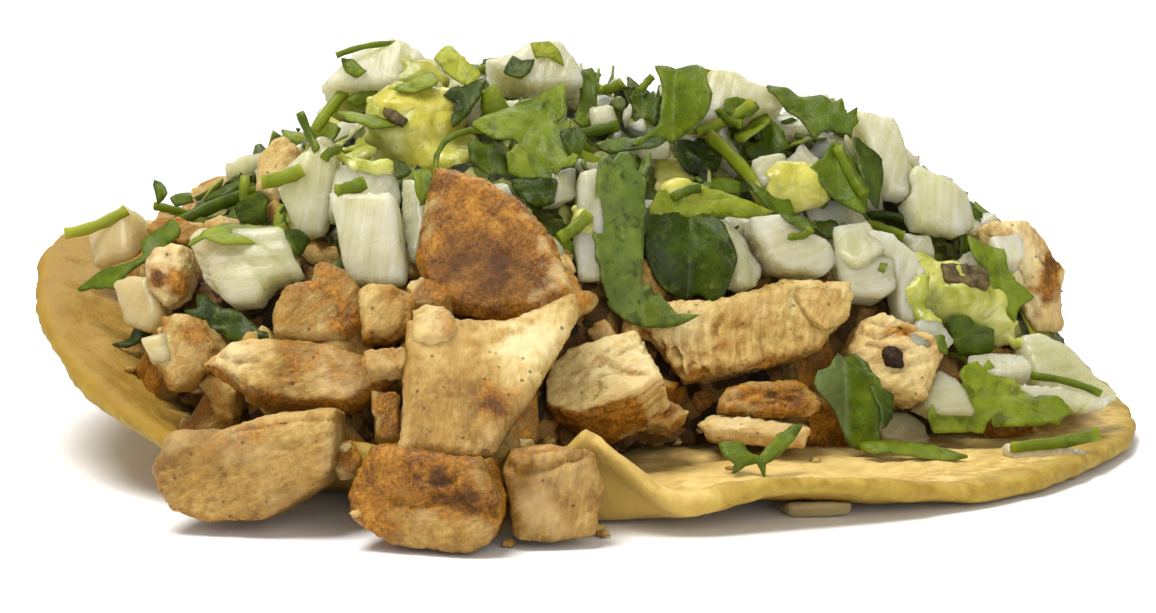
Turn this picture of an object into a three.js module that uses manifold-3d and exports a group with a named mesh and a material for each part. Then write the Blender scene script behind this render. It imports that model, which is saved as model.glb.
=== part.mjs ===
// A small street taco: one soft corn tortilla lying open, heaped along its middle with chopped
// grilled chicken and topped with diced onion, cilantro and green salsa.
// Millimetres, +Z up. The origin is on the flat underside of the tortilla, the heap runs along
// X, and the front, where some chicken has slid over the rim, faces -Y.
import * as THREE from "three";
import { mergeVertices } from "three/addons/utils/BufferGeometryUtils.js";
import Module from "manifold-3d";

const wasm = await Module();
wasm.setup();

// ---------------------------------------------------------------- driving dimensions

const GAP = 0.3; // air kept between pieces that touch
const FULL_TURN = 2 * Math.PI;

// The tortilla is a slightly oval disc of even thickness.
const TORTILLA = { long: 63.4, short: 61, thick: 2.2, middle: [-1.6, 1.5], sectors: 46 };

// Its left side is swept up: past a line across the dough it climbs at an even slope.
const SWEEP = { towards: 161, start: 20, soften: 11, slope: 0.45 };

// How the rim lifts besides, going round from +X towards +Y: angle in degrees, lift of the rim,
// and how far in from the rim the dough starts to rise.
const RIM = [
  [0, 0.8, 14], [20, 2.2, 18], [60, 4.5, 22], [100, 3, 24], [138, -6, 28], [156, -4.5, 22],
  [171, -0.8, 9],
  [205, -0.6, 7], [226, 3, 13], [246, 7, 24], [266, 7.4, 13], [278, 2.2, 10], [290, 3.9, 26],
  [313, 0.4, 16], [340, 0.2, 14],
];
const RIPPLE = { waves: 11, height: 0.3, run: 14 };

// The heap is a ridge along X. Its crest is given as X and height. It falls off steeply to the
// front and the back of its middle line, but on the left it has slid forward to the rim.
const RIDGE = { middle: 3, front: 27, frontLeft: 57, back: 36, slide: [8, -10], half: 66, x: 1 };
const CREST = [
  [-57, 20], [-46, 26], [-36, 31], [-26, 38], [-18, 41], [-8, 40.5], [10, 39], [22, 37],
  [34, 32.5], [44, 25], [52, 17], [60, 4],
];

// The solid cores under the small pieces share one plan: half their length, their share of the
// ridge's depth, and how far their surface is shifted at random.
const CORE = { half: 56, depth: 0.93, sectors: 28, rough: 1.6 };
// How deep below the ridge's surface a core lies, the height it is cut off at, its underside.
const FILLING = { under: 2.2, ceiling: 23, floor: 0.5 };
const TOPPING = { under: 3, ceiling: 50, floor: 2 };

const COLOUR = {
  tortilla: 0xe0bd6a,
  chicken: 0xcfa56b,
  onion: 0xe3e2c4,
  cilantro: 0x5f8a26,
  salsa: 0xc2bd4a,
};

// Rows of pieces. `at` is the middle of a piece. `turn` is yaw, pitch and roll in degrees: with
// no turn a piece faces the front, yaw swings it towards +X, pitch tips its face up to the sky,
// and roll spins it in its own plane. Outlines go round the face, X to the right, Y up.

const CHICKEN = [
  {
    name: "chicken_seared", at: [-8.8, -34.5, 24.6], turn: [-10, 32, 0], thick: 9,
    outline: [[-7, 8.5], [-2, 7], [2, 4.5], [6, 0.5], [8.5, -5], [6, -7.5], [0, -8.5],
      [-5.5, -7], [-8, -2], [-7.5, 3]],
  },
  {
    name: "chicken_slab", at: [-9.6, -53.6, 14.6], turn: [6, 42, 0], thick: 5.5,
    outline: [[-8, 6.5], [-1.5, 6.5], [2, 6], [9, 9.5], [9.5, 7.5], [5, -0.5], [1.5, -6],
      [0, -9], [-1.5, -9.5], [-9.5, -9]],
  },
  {
    name: "chicken_block", at: [2.2, -33, 10.4], turn: [-14, 32, 0], thick: 10,
    outline: [[-7, -0.5], [-3, 3], [3, 5.5], [4.5, 3], [7, 0], [4.5, -2.5], [-1.5, -5.5],
      [-5.5, -4.5]],
  },
  {
    name: "chicken_fibrous", at: [15.9, -20.5, 14.2], turn: [6, 20, 0], thick: 9,
    outline: [[-12.5, 2.5], [-6.5, 3], [-2, 3], [5.5, 5.5], [12.5, 4.5], [11.5, 1.5], [8.5, -2.5],
      [4, -4], [-2, -5], [-6, -5.5], [-9.5, -1], [-12.5, -1]],
  },
  {
    name: "chicken_nub", at: [19.3, -25, 8], turn: [4, 16, 0], thick: 8,
    outline: [[-5.5, 0], [-4, 1.2], [3, 2], [5, 0], [5.5, -1.5], [3.5, -2], [-2, -2], [-5.5, -1.5]],
  },
  {
    name: "chicken_sliver", at: [17.9, -27, 4.8], turn: [0, 12, 0], thick: 8,
    outline: [[-6, 1], [-4.5, 1.5], [-0.5, 1.5], [6, 0.5], [5, -1.5], [-2, -1.2], [-5, -1]],
  },
  {
    name: "chicken_left_front", at: [-32.8, -53, 6.4], turn: [-12, 8, 0], thick: 10,
    outline: [[-9.5, -0.5], [-7.5, 3], [-2.5, 3.5], [3, 5.5], [9, 6], [9, 0.5], [7.5, -1.5],
      [4.5, -3.5], [2, -5.2], [-3.5, -5.6], [-7.5, -4.5]],
  },
  {
    name: "chicken_roll", at: [-28.6, -43, 13.2], turn: [-6, 24, 0], thick: 8,
    outline: [[-10, 0.5], [-7, 3], [-4.5, 3.5], [3, 3], [7.5, 1.5], [10, 1], [9, -1.5], [5.5, -3.5],
      [0, -3.5], [-5, -2.5], [-7, -1]],
  },
  {
    name: "chicken_notched", at: [-27.4, -37.5, 19.8], turn: [8, 20, 0], thick: 9,
    outline: [[-4.5, -1], [-3.5, 1.5], [-0.5, 2], [0, 4], [2, 3.5], [4, 2], [4.5, -2.5], [2.5, -4],
      [-2, -4], [-4.5, -3]],
  },
  {
    name: "chicken_speckled", at: [-43.6, -22, 20.2], turn: [-16, 20, 0], thick: 7,
    outline: [[-2.5, 1.5], [-1.5, 3], [1.5, 3.5], [2.5, 1], [2.5, -2], [0.5, -3.5], [-1.5, -1.5]],
  },
  {
    name: "chicken_rough", at: [-40.2, -34, 14.1], turn: [-20, 16, 0], thick: 8,
    outline: [[-3.5, -1], [-3, 3.5], [-1.5, 4], [1, 3.5], [3.5, 1], [2.5, -1.5], [1, -3], [-1, -4]],
  },
  {
    name: "chicken_spilled", at: [-14.9, -62, 5.2], turn: [-16, 4, 0], thick: 8,
    outline: [[-7.5, 0], [-6.5, 2.5], [-5, 5], [6, 4], [7.5, 0.5], [7.5, -2], [6.5, -4],
      [4.5, -4.9], [-3, -4.4], [-7.5, -2.5]],
  },
  {
    name: "chicken_spilled_cube", at: [-3.6, -60, 4.9], turn: [10, 10, 0], thick: 6.5,
    outline: [[-5, 2.5], [-4, 4.5], [0, 5], [4, 4], [4.5, 2.5], [5, 0.5], [4, -4], [-0.5, -4.6],
      [-3.5, -4.2]],
  },
  {
    name: "chicken_wrinkled", at: [-20.2, -41, 19.2], turn: [4, 18, 0], thick: 9,
    outline: [[-2.7, 2.6], [0.5, 3], [2.7, 1.5], [2.6, -2], [0.6, -3], [-2.6, -2.6]],
  },
  {
    name: "chicken_peppered", at: [32.6, -18.5, 10.6], turn: [14, 24, 0], thick: 9,
    outline: [[-4, 4], [-1, 5], [4, 2.5], [5.5, 1], [4, -2], [2.5, -5], [-1, -4.5], [-4, -3],
      [-5.5, 1]],
  },
  {
    name: "chicken_far_right", at: [48.2, -3, 17.2], turn: [36, 20, 0], thick: 7,
    outline: [[-4.5, 6.5], [0.5, 6.5], [2.5, 4], [4.5, 0], [3, -2.5], [2.5, -6.5], [-1, -6],
      [-3, 0], [-4.5, 4]],
  },
  {
    name: "chicken_behind_left", at: [-32.7, -11, 29.9], turn: [-30, 30, 0], thick: 6,
    outline: [[-2.2, 1], [-0.6, 4.2], [2, 3], [2.4, -1], [1.4, -4], [-1.6, -3.6]],
  },
  {
    name: "chicken_back_slab", at: [-16, 32, 17], turn: [176, 30, 6], thick: 9,
    outline: [[-9, 4], [-3, 6], [6, 5], [9, 1], [8, -5], [1, -6.5], [-7, -5], [-9.5, -1]],
  },
  {
    name: "chicken_back_block", at: [20, 33.5, 13], turn: [192, 26, -8], thick: 10,
    outline: [[-7, 2], [-4, 5.5], [3, 6], [7.5, 3], [7, -3], [1, -5.5], [-6, -4.5]],
  },
];

const ONION = [
  {
    name: "onion_big_left", at: [-34.9, -29, 22.1], turn: [-12, 28, 0], thick: 7, bow: -0.8,
    outline: [[-6.5, 2.5], [-5.5, 4], [3.5, 4], [5, 1.5], [6.5, -1], [3, -1.8], [2, -4.2],
      [-1, -4.2], [-4, -2]],
  },
  {
    name: "onion_cube", at: [-22.1, -33, 25.7], turn: [-8, 20, 0], thick: 8, bow: -0.5,
    outline: [[-4.2, 4.6], [2.4, 4.8], [4.2, -2.5], [4.1, -4.6], [-1.2, -4.6], [-2.2, -3]],
  },
  {
    name: "onion_upper_left", at: [-29.3, -22.5, 29], turn: [-16, 26, 0], thick: 6, bow: -0.4,
    outline: [[-3, 1], [-0.5, 4.5], [3, 5], [3.2, 0], [3, -4.5], [0.5, -5]],
  },
  {
    name: "onion_summit_left", at: [-21.9, -2, 40.1], turn: [-6, 40, 0], thick: 6, bow: -1,
    outline: [[-7, -3], [-5, -0.5], [-3.5, 1.2], [1, 3.2], [3.5, 2], [7, -1.5], [6, -3.2],
      [1.5, -3]],
  },
  {
    name: "onion_summit_middle", at: [-5.8, 0, 39.7], turn: [4, 36, 0], thick: 7, bow: -0.6,
    outline: [[-5.5, 0.5], [0, 2.8], [3, 2.8], [4.5, 0.5], [5.5, -2.2], [-0.5, -2.8]],
  },
  {
    name: "onion_sliver", at: [0.1, -22, 25.5], turn: [10, 22, -3], thick: 6, bow: 0.4,
    outline: [[-1, 5.8], [1, 6], [1.5, 0], [1.3, -6], [-1.2, -6], [-1.7, -2]],
  },
  {
    name: "onion_top_right", at: [17.2, 0, 36.9], turn: [12, 36, 0], thick: 6, bow: -0.8,
    outline: [[-3.5, 3], [-1, 2.8], [1, 1], [5.5, 0.2], [4, -2], [-3.5, -3], [-5.5, -3]],
  },
  {
    name: "onion_white_right", at: [21.7, -16, 22.6], turn: [16, 26, 0], thick: 5.5, bow: -0.6,
    outline: [[-4.5, 3.5], [-1, 3.5], [1, 1.5], [4, 0], [4.5, -2], [3, -3.5], [-0.5, -3],
      [-2.5, -2]],
  },
  {
    name: "onion_right_middle", at: [29.6, -15.5, 19.5], turn: [12, 26, 0], thick: 5, bow: -0.4,
    outline: [[-3.4, 2.6], [3.2, 1.6], [3.4, -1.6], [1.6, -2.8], [-2, -2.4]],
  },
  {
    name: "onion_curved", at: [33.2, -14.8, 18.9], turn: [18, 26, 0], thick: 4.5, bow: 0.8,
    outline: [[-3, 5.4], [0, 5], [2.4, 2.6], [3.2, -1], [1, -5.4], [-0.6, -4.6], [-0.4, -0.5],
      [-1.6, 2.6]],
  },
  {
    name: "onion_top_far_right", at: [32.6, -2, 30.4], turn: [24, 34, 0], thick: 6, bow: -0.5,
    outline: [[-2.6, 5.4], [2.2, 4.4], [2.2, -2], [1, -5.4], [-1.4, -4.6], [-2, 0]],
  },
  {
    name: "onion_shoulder", at: [38.1, -4, 25.7], turn: [32, 30, 0], thick: 6, bow: -1.2,
    outline: [[-4, 3], [-1.6, 4.4], [1, 2.4], [4, 1], [4, -3.4], [1.4, -4.4], [-3.6, -2.6]],
  },
  {
    name: "onion_right_large", at: [52, -13, 8.8], turn: [36, 40, 0], thick: 3.5, bow: -0.5,
    outline: [[-4.5, 4.5], [-2, 4.5], [1, 2.5], [3, -1.5], [5, -4.5], [-2.5, -4.5], [-5, -2]],
  },
  {
    name: "onion_right_low", at: [37.7, -20, 7.4], turn: [10, 30, 0], thick: 4, bow: -0.3,
    outline: [[-3.6, -0.6], [-0.6, 2.8], [2, 1.4], [3.6, -2.6], [-0.6, -2.6]],
  },
  {
    name: "onion_left_top", at: [-51.2, -4, 21.8], turn: [-40, 30, 0], thick: 5, bow: -0.4,
    outline: [[-3.4, 0.4], [1, 3.8], [3.4, -1.6], [-0.6, -3.8]],
  },
  {
    name: "onion_left_low", at: [-47, -22, 17.2], turn: [-26, 26, 0], thick: 5, bow: -0.3,
    outline: [[-3.4, 2.2], [-1.2, 3], [1.4, 2.8], [3.6, -1.2], [2.6, -2.8], [-0.6, -2.2]],
  },
  {
    name: "onion_under_rim", at: [23, -45.6, 1], turn: [0, 90, 0], thick: 1.7, bow: 0,
    outline: [[-5, 3], [4.6, 3.2], [4, -2.4], [1, -3.4], [-2.6, -3]],
  },
  {
    name: "onion_back_left", at: [-26, 21, 31], turn: [186, 40, 0], thick: 6, bow: -0.6,
    outline: [[-5, 3], [1, 4.5], [5, 2], [4.5, -3.5], [-2, -4.5], [-5.5, -2]],
  },
  {
    name: "onion_back_right", at: [12, 23.5, 29], turn: [172, 36, 10], thick: 6, bow: -0.6,
    outline: [[-5.5, 1], [-2, 4.5], [4, 4], [5.5, -1], [2, -4.5], [-4, -3.5]],
  },
];

// Leaves are thin. `fold` shuts a leaf along its midrib and `curl` bends its ends back, both in
// mm at the edge.
const CILANTRO = [
  {
    name: "cilantro_long", at: [6, -23, 25], turn: [4, 20, 0], fold: 0.6, curl: 0.8,
    outline: [[-4, 8.5], [-2.5, 10], [1, 10], [1.5, 6.5], [1, 1], [1.5, -5], [5, -8.4], [2, -10],
      [-1.5, -9.5], [-4, -7], [-4.4, 0.5]],
  },
  {
    name: "cilantro_curl", at: [9.7, -8, 37.4], turn: [-6, 34, 0], fold: 1.4, curl: 1.2,
    outline: [[-2, 5.5], [3, 5.5], [4.5, 0.5], [2, -3.5], [-3.5, -5.5], [-4.5, -4.5], [-1.5, -0.5]],
  },
  {
    name: "cilantro_dark", at: [11.4, -18.5, 22.8], turn: [2, 26, 0], fold: 0.9, curl: 0.8,
    outline: [[-5, 4], [0, 5.5], [3.5, 4], [5, -1], [2.5, -5], [-2, -5.5], [-4.5, -2]],
  },
  {
    name: "cilantro_centre", at: [-6.2, -19, 35.8], turn: [-4, 40, 0], fold: 0.8, curl: 1,
    outline: [[-5.5, 2], [-2, 5.5], [2, 6.5], [4.5, 6.5], [4.5, 1], [5.5, -4], [2.5, -5.5],
      [0.5, -6.5], [-2, -5], [-1.5, -1.5]],
  },
  {
    name: "cilantro_dark_pair", at: [-13, -14.5, 38.2], turn: [10, 44, 0], fold: 0.6, curl: 0.3,
    outline: [[-2.5, 1.5], [0, 3.5], [2.5, 4], [2, 0.5], [-0.5, -4], [-1.5, -2.5]],
  },
  {
    name: "cilantro_top_right", at: [24.5, -3.5, 36.6], turn: [10, 44, 0], fold: 0.4, curl: 0.5,
    outline: [[-4.5, 4], [-2, 3.5], [1.5, 2], [4.5, 0], [4, -4], [0.5, -1.5], [-2, 0.5]],
  },
  {
    name: "cilantro_oblong", at: [27.4, -10, 30.4], turn: [10, 34, 0], fold: 0.5, curl: 0.2,
    outline: [[-3, 1.5], [0, 4.5], [3, -2.5], [2.5, -4.5], [0, -2]],
  },
  {
    name: "cilantro_right", at: [45.3, -11, 18.4], turn: [20, 26, 0], fold: 0.5, curl: 0.5,
    outline: [[-3.5, 5], [0.5, 3.5], [2, -2], [3.5, -4.5], [1.5, -5], [-1.5, -1]],
  },
  {
    name: "cilantro_fan", at: [44.4, -20.5, 6.7], turn: [8, 24, 0], fold: 0.6, curl: 0.8,
    outline: [[-7.5, -2], [-4, 1], [-3.5, 3.5], [-1, 2.5], [0.5, 4], [1, 1.5], [4, 0], [7.5, -1],
      [4, -3], [-1, -3], [-6, -4]],
  },
  {
    name: "cilantro_folded", at: [27.5, -24.5, 7.9], turn: [6, 16, 0], fold: 1.6, curl: 0.5,
    outline: [[-3.5, 2], [-0.5, 5], [1, 5], [3.5, 2], [3, -4.5], [1.5, -5], [-1, -1.5]],
  },
  {
    name: "cilantro_sprig", at: [17.9, -39, 5], turn: [0, 34, 0], fold: 0.4, curl: 0.4,
    outline: [[-4.5, 0], [-1.5, -0.5], [0.5, -0.5], [4, 3], [4.5, 2.5], [2, -1], [1, -3], [-1, -2],
      [-3, -2.5]],
  },
  {
    name: "cilantro_dark_left", at: [-36.8, -34, 17.7], turn: [-10, 24, 0], fold: 0.5, curl: 0.3,
    outline: [[-3.5, 3], [-1, 2.5], [3.5, -0.5], [2, -3], [-1, -2], [-3, 1]],
  },
  {
    name: "cilantro_left_strip", at: [-50.3, -17, 20.2], turn: [-20, 24, 0], fold: 0.3, curl: 0.2,
    outline: [[-4, -2.5], [-1, 0.5], [3.5, 2.5], [4, 1.5], [0.5, -2]],
  },
  {
    name: "cilantro_yellow_green", at: [13.4, -16, 28.3], turn: [4, 30, 0], fold: 0.5, curl: 0.5,
    outline: [[-6.5, -2], [-2.5, 2], [2.5, 0.6], [6.5, -2], [1, -2.4]],
  },
  {
    name: "cilantro_back", at: [-5, 26, 32], turn: [182, 42, 12], fold: 0.9, curl: 0.8,
    outline: [[-6, 2], [-3, 5], [1, 5.5], [5, 4], [6.5, -1], [3, -4.5], [0, -3.5], [-4, -4.5]],
  },
  {
    name: "cilantro_back_right", at: [32, 20, 27.5], turn: [166, 38, -20], fold: 0.8, curl: 0.6,
    outline: [[-3, 3], [0, 5.5], [3, 3.5], [3.5, -2], [0, -5.5], [-3.5, -2.5]],
  },
];

// Spoonfuls of salsa. Each is a run of round drops that flow together: X, Y, Z and radius.
const SALSA = [
  {
    name: "salsa_crown",
    drops: [[-19.6, -12.5, 36.6, 3.7], [-16.4, -12, 36.8, 3.3], [-17.2, -18.5, 32.4, 3.2]],
  },
  { name: "salsa_middle_right", drops: [[20.8, -9.5, 28.4, 2.9], [24, -9, 28.6, 2.9]] },
  {
    name: "salsa_right",
    drops: [[36, -11.5, 18, 3.7], [40.4, -11, 16.8, 4], [43.6, -9.5, 14.6, 3.5]],
  },
];

// Small chopped pieces fused to the cores: how many, how long, how thick, with how many sides
// (none is a stalk), and the share of the core's width past which they lie.
const SCRAPS = {
  filling: [{ count: 26, size: [6, 10], thick: [5, 7], sides: 6, from: 0.6, seed: 11 }],
  topping: [
    { count: 34, size: [5, 9], thick: [3.4, 5], sides: 5, from: 0, seed: 23 },
    { count: 7, size: [7, 11], thick: [1.2, 1.6], sides: 5, from: 0.2, seed: 31 },
    { count: 5, size: [8, 14], thick: [1.8, 2.4], sides: 0, from: 0.1, seed: 37 },
  ],
};

// ---------------------------------------------------------------- small helpers

// Seeded random numbers from 0 to 1, the same on every run.
function dice(seed) {
  let state = seed >>> 0;
  return () => {
    state = (state + 0x6d2b79f5) >>> 0;
    let t = Math.imul(state ^ (state >>> 15), state | 1);
    t ^= t + Math.imul(t ^ (t >>> 7), t | 61);
    return ((t ^ (t >>> 14)) >>> 0) / 4294967296;
  };
}

const between = (roll, [low, high]) => low + (high - low) * roll();
const smooth = (s) => THREE.MathUtils.smoothstep(s, 0, 1);
const lerp = THREE.MathUtils.lerp;
const radians = THREE.MathUtils.degToRad;

// A closed skin over a sphere's grid, each corner moved to place(sector, ring). Past its middle
// ring the squares are split the other way, so both faces of a thin piece fold along one line.
function skin(sectors, rings, place) {
  const geometry = new THREE.SphereGeometry(1, sectors, rings);
  geometry.deleteAttribute("normal");
  geometry.deleteAttribute("uv");
  const corners = geometry.getAttribute("position");
  const row = sectors + 1;
  for (let j = 0; j <= rings; j++) {
    for (let i = 0; i < row; i++) {
      const p = place(i % sectors, j);
      corners.setXYZ(j * row + i, p.x, p.y, p.z);
    }
  }
  const faces = [];
  for (let j = 0; j < rings; j++) {
    for (let i = 0; i < sectors; i++) {
      const b = j * row + i;
      const a = b + 1;
      const c = b + row;
      const d = c + 1;
      const far = j >= rings / 2;
      if (j > 0) faces.push(a, b, far ? c : d);
      if (j < rings - 1) faces.push(far ? a : b, c, d);
    }
  }
  geometry.setIndex(faces);
  return geometry;
}

function solid(geometry) {
  geometry.deleteAttribute("normal");
  geometry.deleteAttribute("uv");
  const merged = mergeVertices(geometry, 1e-4);
  return new wasm.Manifold(
    new wasm.Mesh({
      numProp: 3,
      vertProperties: merged.getAttribute("position").array,
      triVerts: new Uint32Array(merged.index.array),
    }),
  );
}

function geometryOf(body) {
  const mesh = body.getMesh();
  const geometry = new THREE.BufferGeometry();
  geometry.setAttribute("position", new THREE.BufferAttribute(mesh.vertProperties, mesh.numProp));
  geometry.setIndex(new THREE.BufferAttribute(mesh.triVerts, 1));
  geometry.computeVertexNormals();
  return geometry;
}

// The largest body that a cut has left.
function largest(body) {
  const pieces = body.decompose();
  pieces.sort((a, b) => b.volume() - a.volume());
  return pieces[0];
}

// The frame of a piece: where it lies and which way its face looks.
function frame({ at, turn }) {
  const [yaw, pitch, roll] = turn.map(radians);
  return new THREE.Matrix4()
    .makeTranslation(...at)
    .multiply(new THREE.Matrix4().makeRotationZ(yaw))
    .multiply(new THREE.Matrix4().makeRotationX(Math.PI / 2 - pitch))
    .multiply(new THREE.Matrix4().makeRotationZ(roll));
}

// ---------------------------------------------------------------- the tortilla

function flatRadius(angle) {
  const { long, short } = TORTILLA;
  return (long * short) / Math.hypot(short * Math.cos(angle), long * Math.sin(angle));
}

// The rim's lift and run at an angle, eased between the rows of RIM.
function rimAt(angle) {
  const degrees = (THREE.MathUtils.radToDeg(angle) + 360) % 360;
  const last = RIM.length - 1;
  const k = RIM.findIndex(([at]) => at > degrees);
  const [fromAngle, fromLift, fromRun] = RIM[k < 0 ? last : k - 1];
  const [toAngle, toLift, toRun] = k < 0 ? [360, RIM[0][1], RIM[0][2]] : RIM[k];
  const share = smooth((degrees - fromAngle) / (toAngle - fromAngle));
  return [lerp(fromLift, toLift, share), lerp(fromRun, toRun, share)];
}

// Height of the dough's middle layer before the sweep, at a distance measured along the dough.
function rimHeight(distance, angle) {
  const toRim = flatRadius(angle) - distance;
  const [lift, run] = rimAt(angle);
  const climb = Math.max(1 - toRim / run, 0);
  const near = Math.max(1 - toRim / RIPPLE.run, 0);
  const ripple = RIPPLE.height * near * near * (1 + Math.sin(RIPPLE.waves * angle));
  return TORTILLA.thick / 2 + lift * climb * climb + ripple;
}

// Dough that climbs reaches less far out. This walks along it and adds up the level steps.
function levelReach(distance, heightAt) {
  const steps = 40;
  const step = distance / steps;
  let reach = 0;
  for (let k = 0; k < steps; k++) {
    const climb = heightAt((k + 1) * step) - heightAt(k * step);
    reach += Math.sqrt(Math.max(step * step - climb * climb, 0));
  }
  return reach;
}

function sweepHeight(along) {
  const { start, soften, slope } = SWEEP;
  const past = along - start;
  if (past < -soften) return 0;
  return past > soften ? slope * past : (slope * (past + soften) ** 2) / (4 * soften);
}

function doughPoint(distance, angle) {
  const reach = levelReach(distance, (d) => rimHeight(d, angle));
  const [x, y] = TORTILLA.middle;
  const point = new THREE.Vector2(x + reach * Math.cos(angle), y + reach * Math.sin(angle));
  const up = new THREE.Vector2(Math.cos(radians(SWEEP.towards)), Math.sin(radians(SWEEP.towards)));
  const along = point.dot(up);
  if (along > 0) point.addScaledVector(up, levelReach(along, sweepHeight) - along);
  return new THREE.Vector3(point.x, point.y, rimHeight(distance, angle) + sweepHeight(along));
}

// A point on the upper (side 1) or lower (side -1) face, `grow` further out than the dough.
function doughFace(distance, angle, side, grow) {
  const here = doughPoint(distance, angle);
  const out = doughPoint(distance + 0.5, angle).sub(here);
  const round = doughPoint(distance, angle + 0.01).sub(here);
  const normal = out.cross(round).normalize();
  return here.addScaledVector(normal, side * (TORTILLA.thick / 2 + grow));
}

function tortilla(grow = 0) {
  const shares = [0.25, 0.45, 0.6, 0.72, 0.82, 0.9, 0.96, 0.99];
  const count = shares.length;
  const rings = 2 * count + 2;
  const middle = new THREE.Vector3(...TORTILLA.middle, 0);
  return skin(TORTILLA.sectors, rings, (i, j) => {
    const angle = (i / TORTILLA.sectors) * FULL_TURN;
    const rim = flatRadius(angle);
    if (j === 0) return middle.clone().setZ(TORTILLA.thick + grow);
    if (j === rings) return middle.clone().setZ(-grow);
    if (j === count + 1) return doughFace(rim + grow, angle, 0, 0);
    const share = j <= count ? shares[j - 1] : shares[rings - 1 - j];
    return doughFace(rim * share, angle, j <= count ? 1 : -1, grow);
  });
}

// ---------------------------------------------------------------- the two heaps' cores

function crestHeight(x) {
  const last = CREST.length - 1;
  if (x <= CREST[0][0]) return CREST[0][1];
  if (x >= CREST[last][0]) return CREST[last][1];
  const k = CREST.findIndex(([cx]) => cx > x) - 1;
  const [x0, z0] = CREST[k];
  const [x1, z1] = CREST[k + 1];
  return z0 + ((z1 - z0) * (x - x0)) / (x1 - x0);
}

function ridgeDepth(x, toFront) {
  const [start, end] = RIDGE.slide;
  if (!toFront) return RIDGE.back;
  return lerp(RIDGE.front, RIDGE.frontLeft, smooth((start - x) / (start - end)));
}

// Height of the heap's surface, or of a layer some way under it.
function ridgeHeight(x, y, under = 0) {
  const along = (x - RIDGE.x) / RIDGE.half;
  const round = Math.sqrt(Math.max(1 - along * along, 0.02));
  const depth = round * ridgeDepth(x, y < RIDGE.middle) - under;
  const off = Math.min(Math.abs(y - RIDGE.middle) / Math.max(depth, 1), 1);
  return (crestHeight(x) - under) * (1 - off ** 1.8) ** 0.6;
}

// The chicken thins out to the right, where the toppings reach down to the tortilla.
function coreHeight(spec, x, y) {
  const thinning = spec === FILLING ? 0.55 * Math.max(x - 22, 0) : 0;
  return Math.min(ridgeHeight(x, y, spec.under), spec.ceiling - thinning);
}

// A point of the heap's plan, at a share of the way out from its middle.
function corePlan(angle, share) {
  const x = RIDGE.x + share * CORE.half * Math.cos(angle);
  const depth = CORE.depth * ridgeDepth(x, Math.sin(angle) < 0);
  return [x, RIDGE.middle + share * depth * Math.sin(angle)];
}

function core(spec, grow = 0) {
  const shares = [0.35, 0.6, 0.8, 0.93, 1];
  const rings = shares.length + 2;
  const roll = dice(5);
  const bumps = Array.from({ length: rings * CORE.sectors }, () => CORE.rough * (roll() - 0.5));
  return skin(CORE.sectors, rings, (i, j) => {
    const angle = (i / CORE.sectors) * FULL_TURN;
    const share = [0, ...shares, 0.98, 0][j];
    const wider = share > 0 ? grow : 0;
    const bump = share > 0 ? bumps[j * CORE.sectors + i] : 0;
    const [x, y] = corePlan(angle, share);
    const top = Math.max(coreHeight(spec, x, y) + bump, spec.floor + 1.5) + grow;
    const z = j <= shares.length ? top : spec.floor - grow;
    return new THREE.Vector3(x + wider * Math.cos(angle), y + wider * Math.sin(angle), z);
  });
}

// ---------------------------------------------------------------- pieces

// Splits the long edges of an outline, so that a rough piece has corners to be rough at.
function divided(outline, longest) {
  const points = [];
  outline.forEach(([x, y], k) => {
    const [nextX, nextY] = outline[(k + 1) % outline.length];
    const parts = Math.max(Math.round(Math.hypot(nextX - x, nextY - y) / longest), 1);
    for (let n = 0; n < parts; n++) {
      points.push(new THREE.Vector2(x + ((nextX - x) * n) / parts, y + ((nextY - y) * n) / parts));
    }
  });
  if (THREE.ShapeUtils.area(points) < 0) points.reverse();
  return points;
}

// Moves an outline out by a distance, or in by a negative one, square to its edges.
function offset(points, distance) {
  return points.map((p, k) => {
    const before = points[(k + points.length - 1) % points.length];
    const after = points[(k + 1) % points.length];
    const a = p.clone().sub(before).normalize();
    const b = after.clone().sub(p).normalize();
    const out = new THREE.Vector2(a.y + b.y, -a.x - b.x);
    const square = Math.max(out.lengthSq() / 2, 0.5);
    return p.clone().addScaledVector(out, distance / square);
  });
}

// A lump cut to an outline, with softened edges. `rough` shifts its corners at random, `bow`
// bends it round its upright axis, and it narrows a little towards the back.
function lump(spec, grow = 0) {
  const { outline, thick, rough = 0, bow = 0, edge = 0.7, longest = 4.5, plain, seed } = spec;
  const round = divided(outline, longest);
  const middle = round.reduce((sum, p) => sum.add(p), new THREE.Vector2());
  middle.divideScalar(round.length);
  const width = Math.max(...round.map((p) => Math.abs(p.x - middle.x)));
  const face = offset(round, grow - edge);
  const side = offset(round, grow);
  const half = thick / 2 + grow;
  const front = [[face, 0, half], [face, 0.55, half], [face, 1, half], [side, 1, half - edge]];
  const back = [[side, 0.9, edge - half], [face, 0.88, -half], [face, 0, -half]];
  const rings = plain ? [front[0], front[2], front[3], back[1], back[2]] : [...front, ...back];
  const roll = dice(seed);
  const shifts = rings.map(() => round.map(() => [roll() - 0.5, roll() - 0.5, roll() - 0.5]));
  return skin(round.length, rings.length - 1, (i, j) => {
    const [from, share, z] = rings[j];
    const p = middle.clone().lerp(from[i], share);
    const [dx, dy, dz] = shifts[j][share ? i : 0];
    const bent = bow * ((p.x - middle.x) / width) ** 2;
    return new THREE.Vector3(p.x + rough * dx, p.y + rough * dy, z + rough * dz + bent);
  });
}

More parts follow.
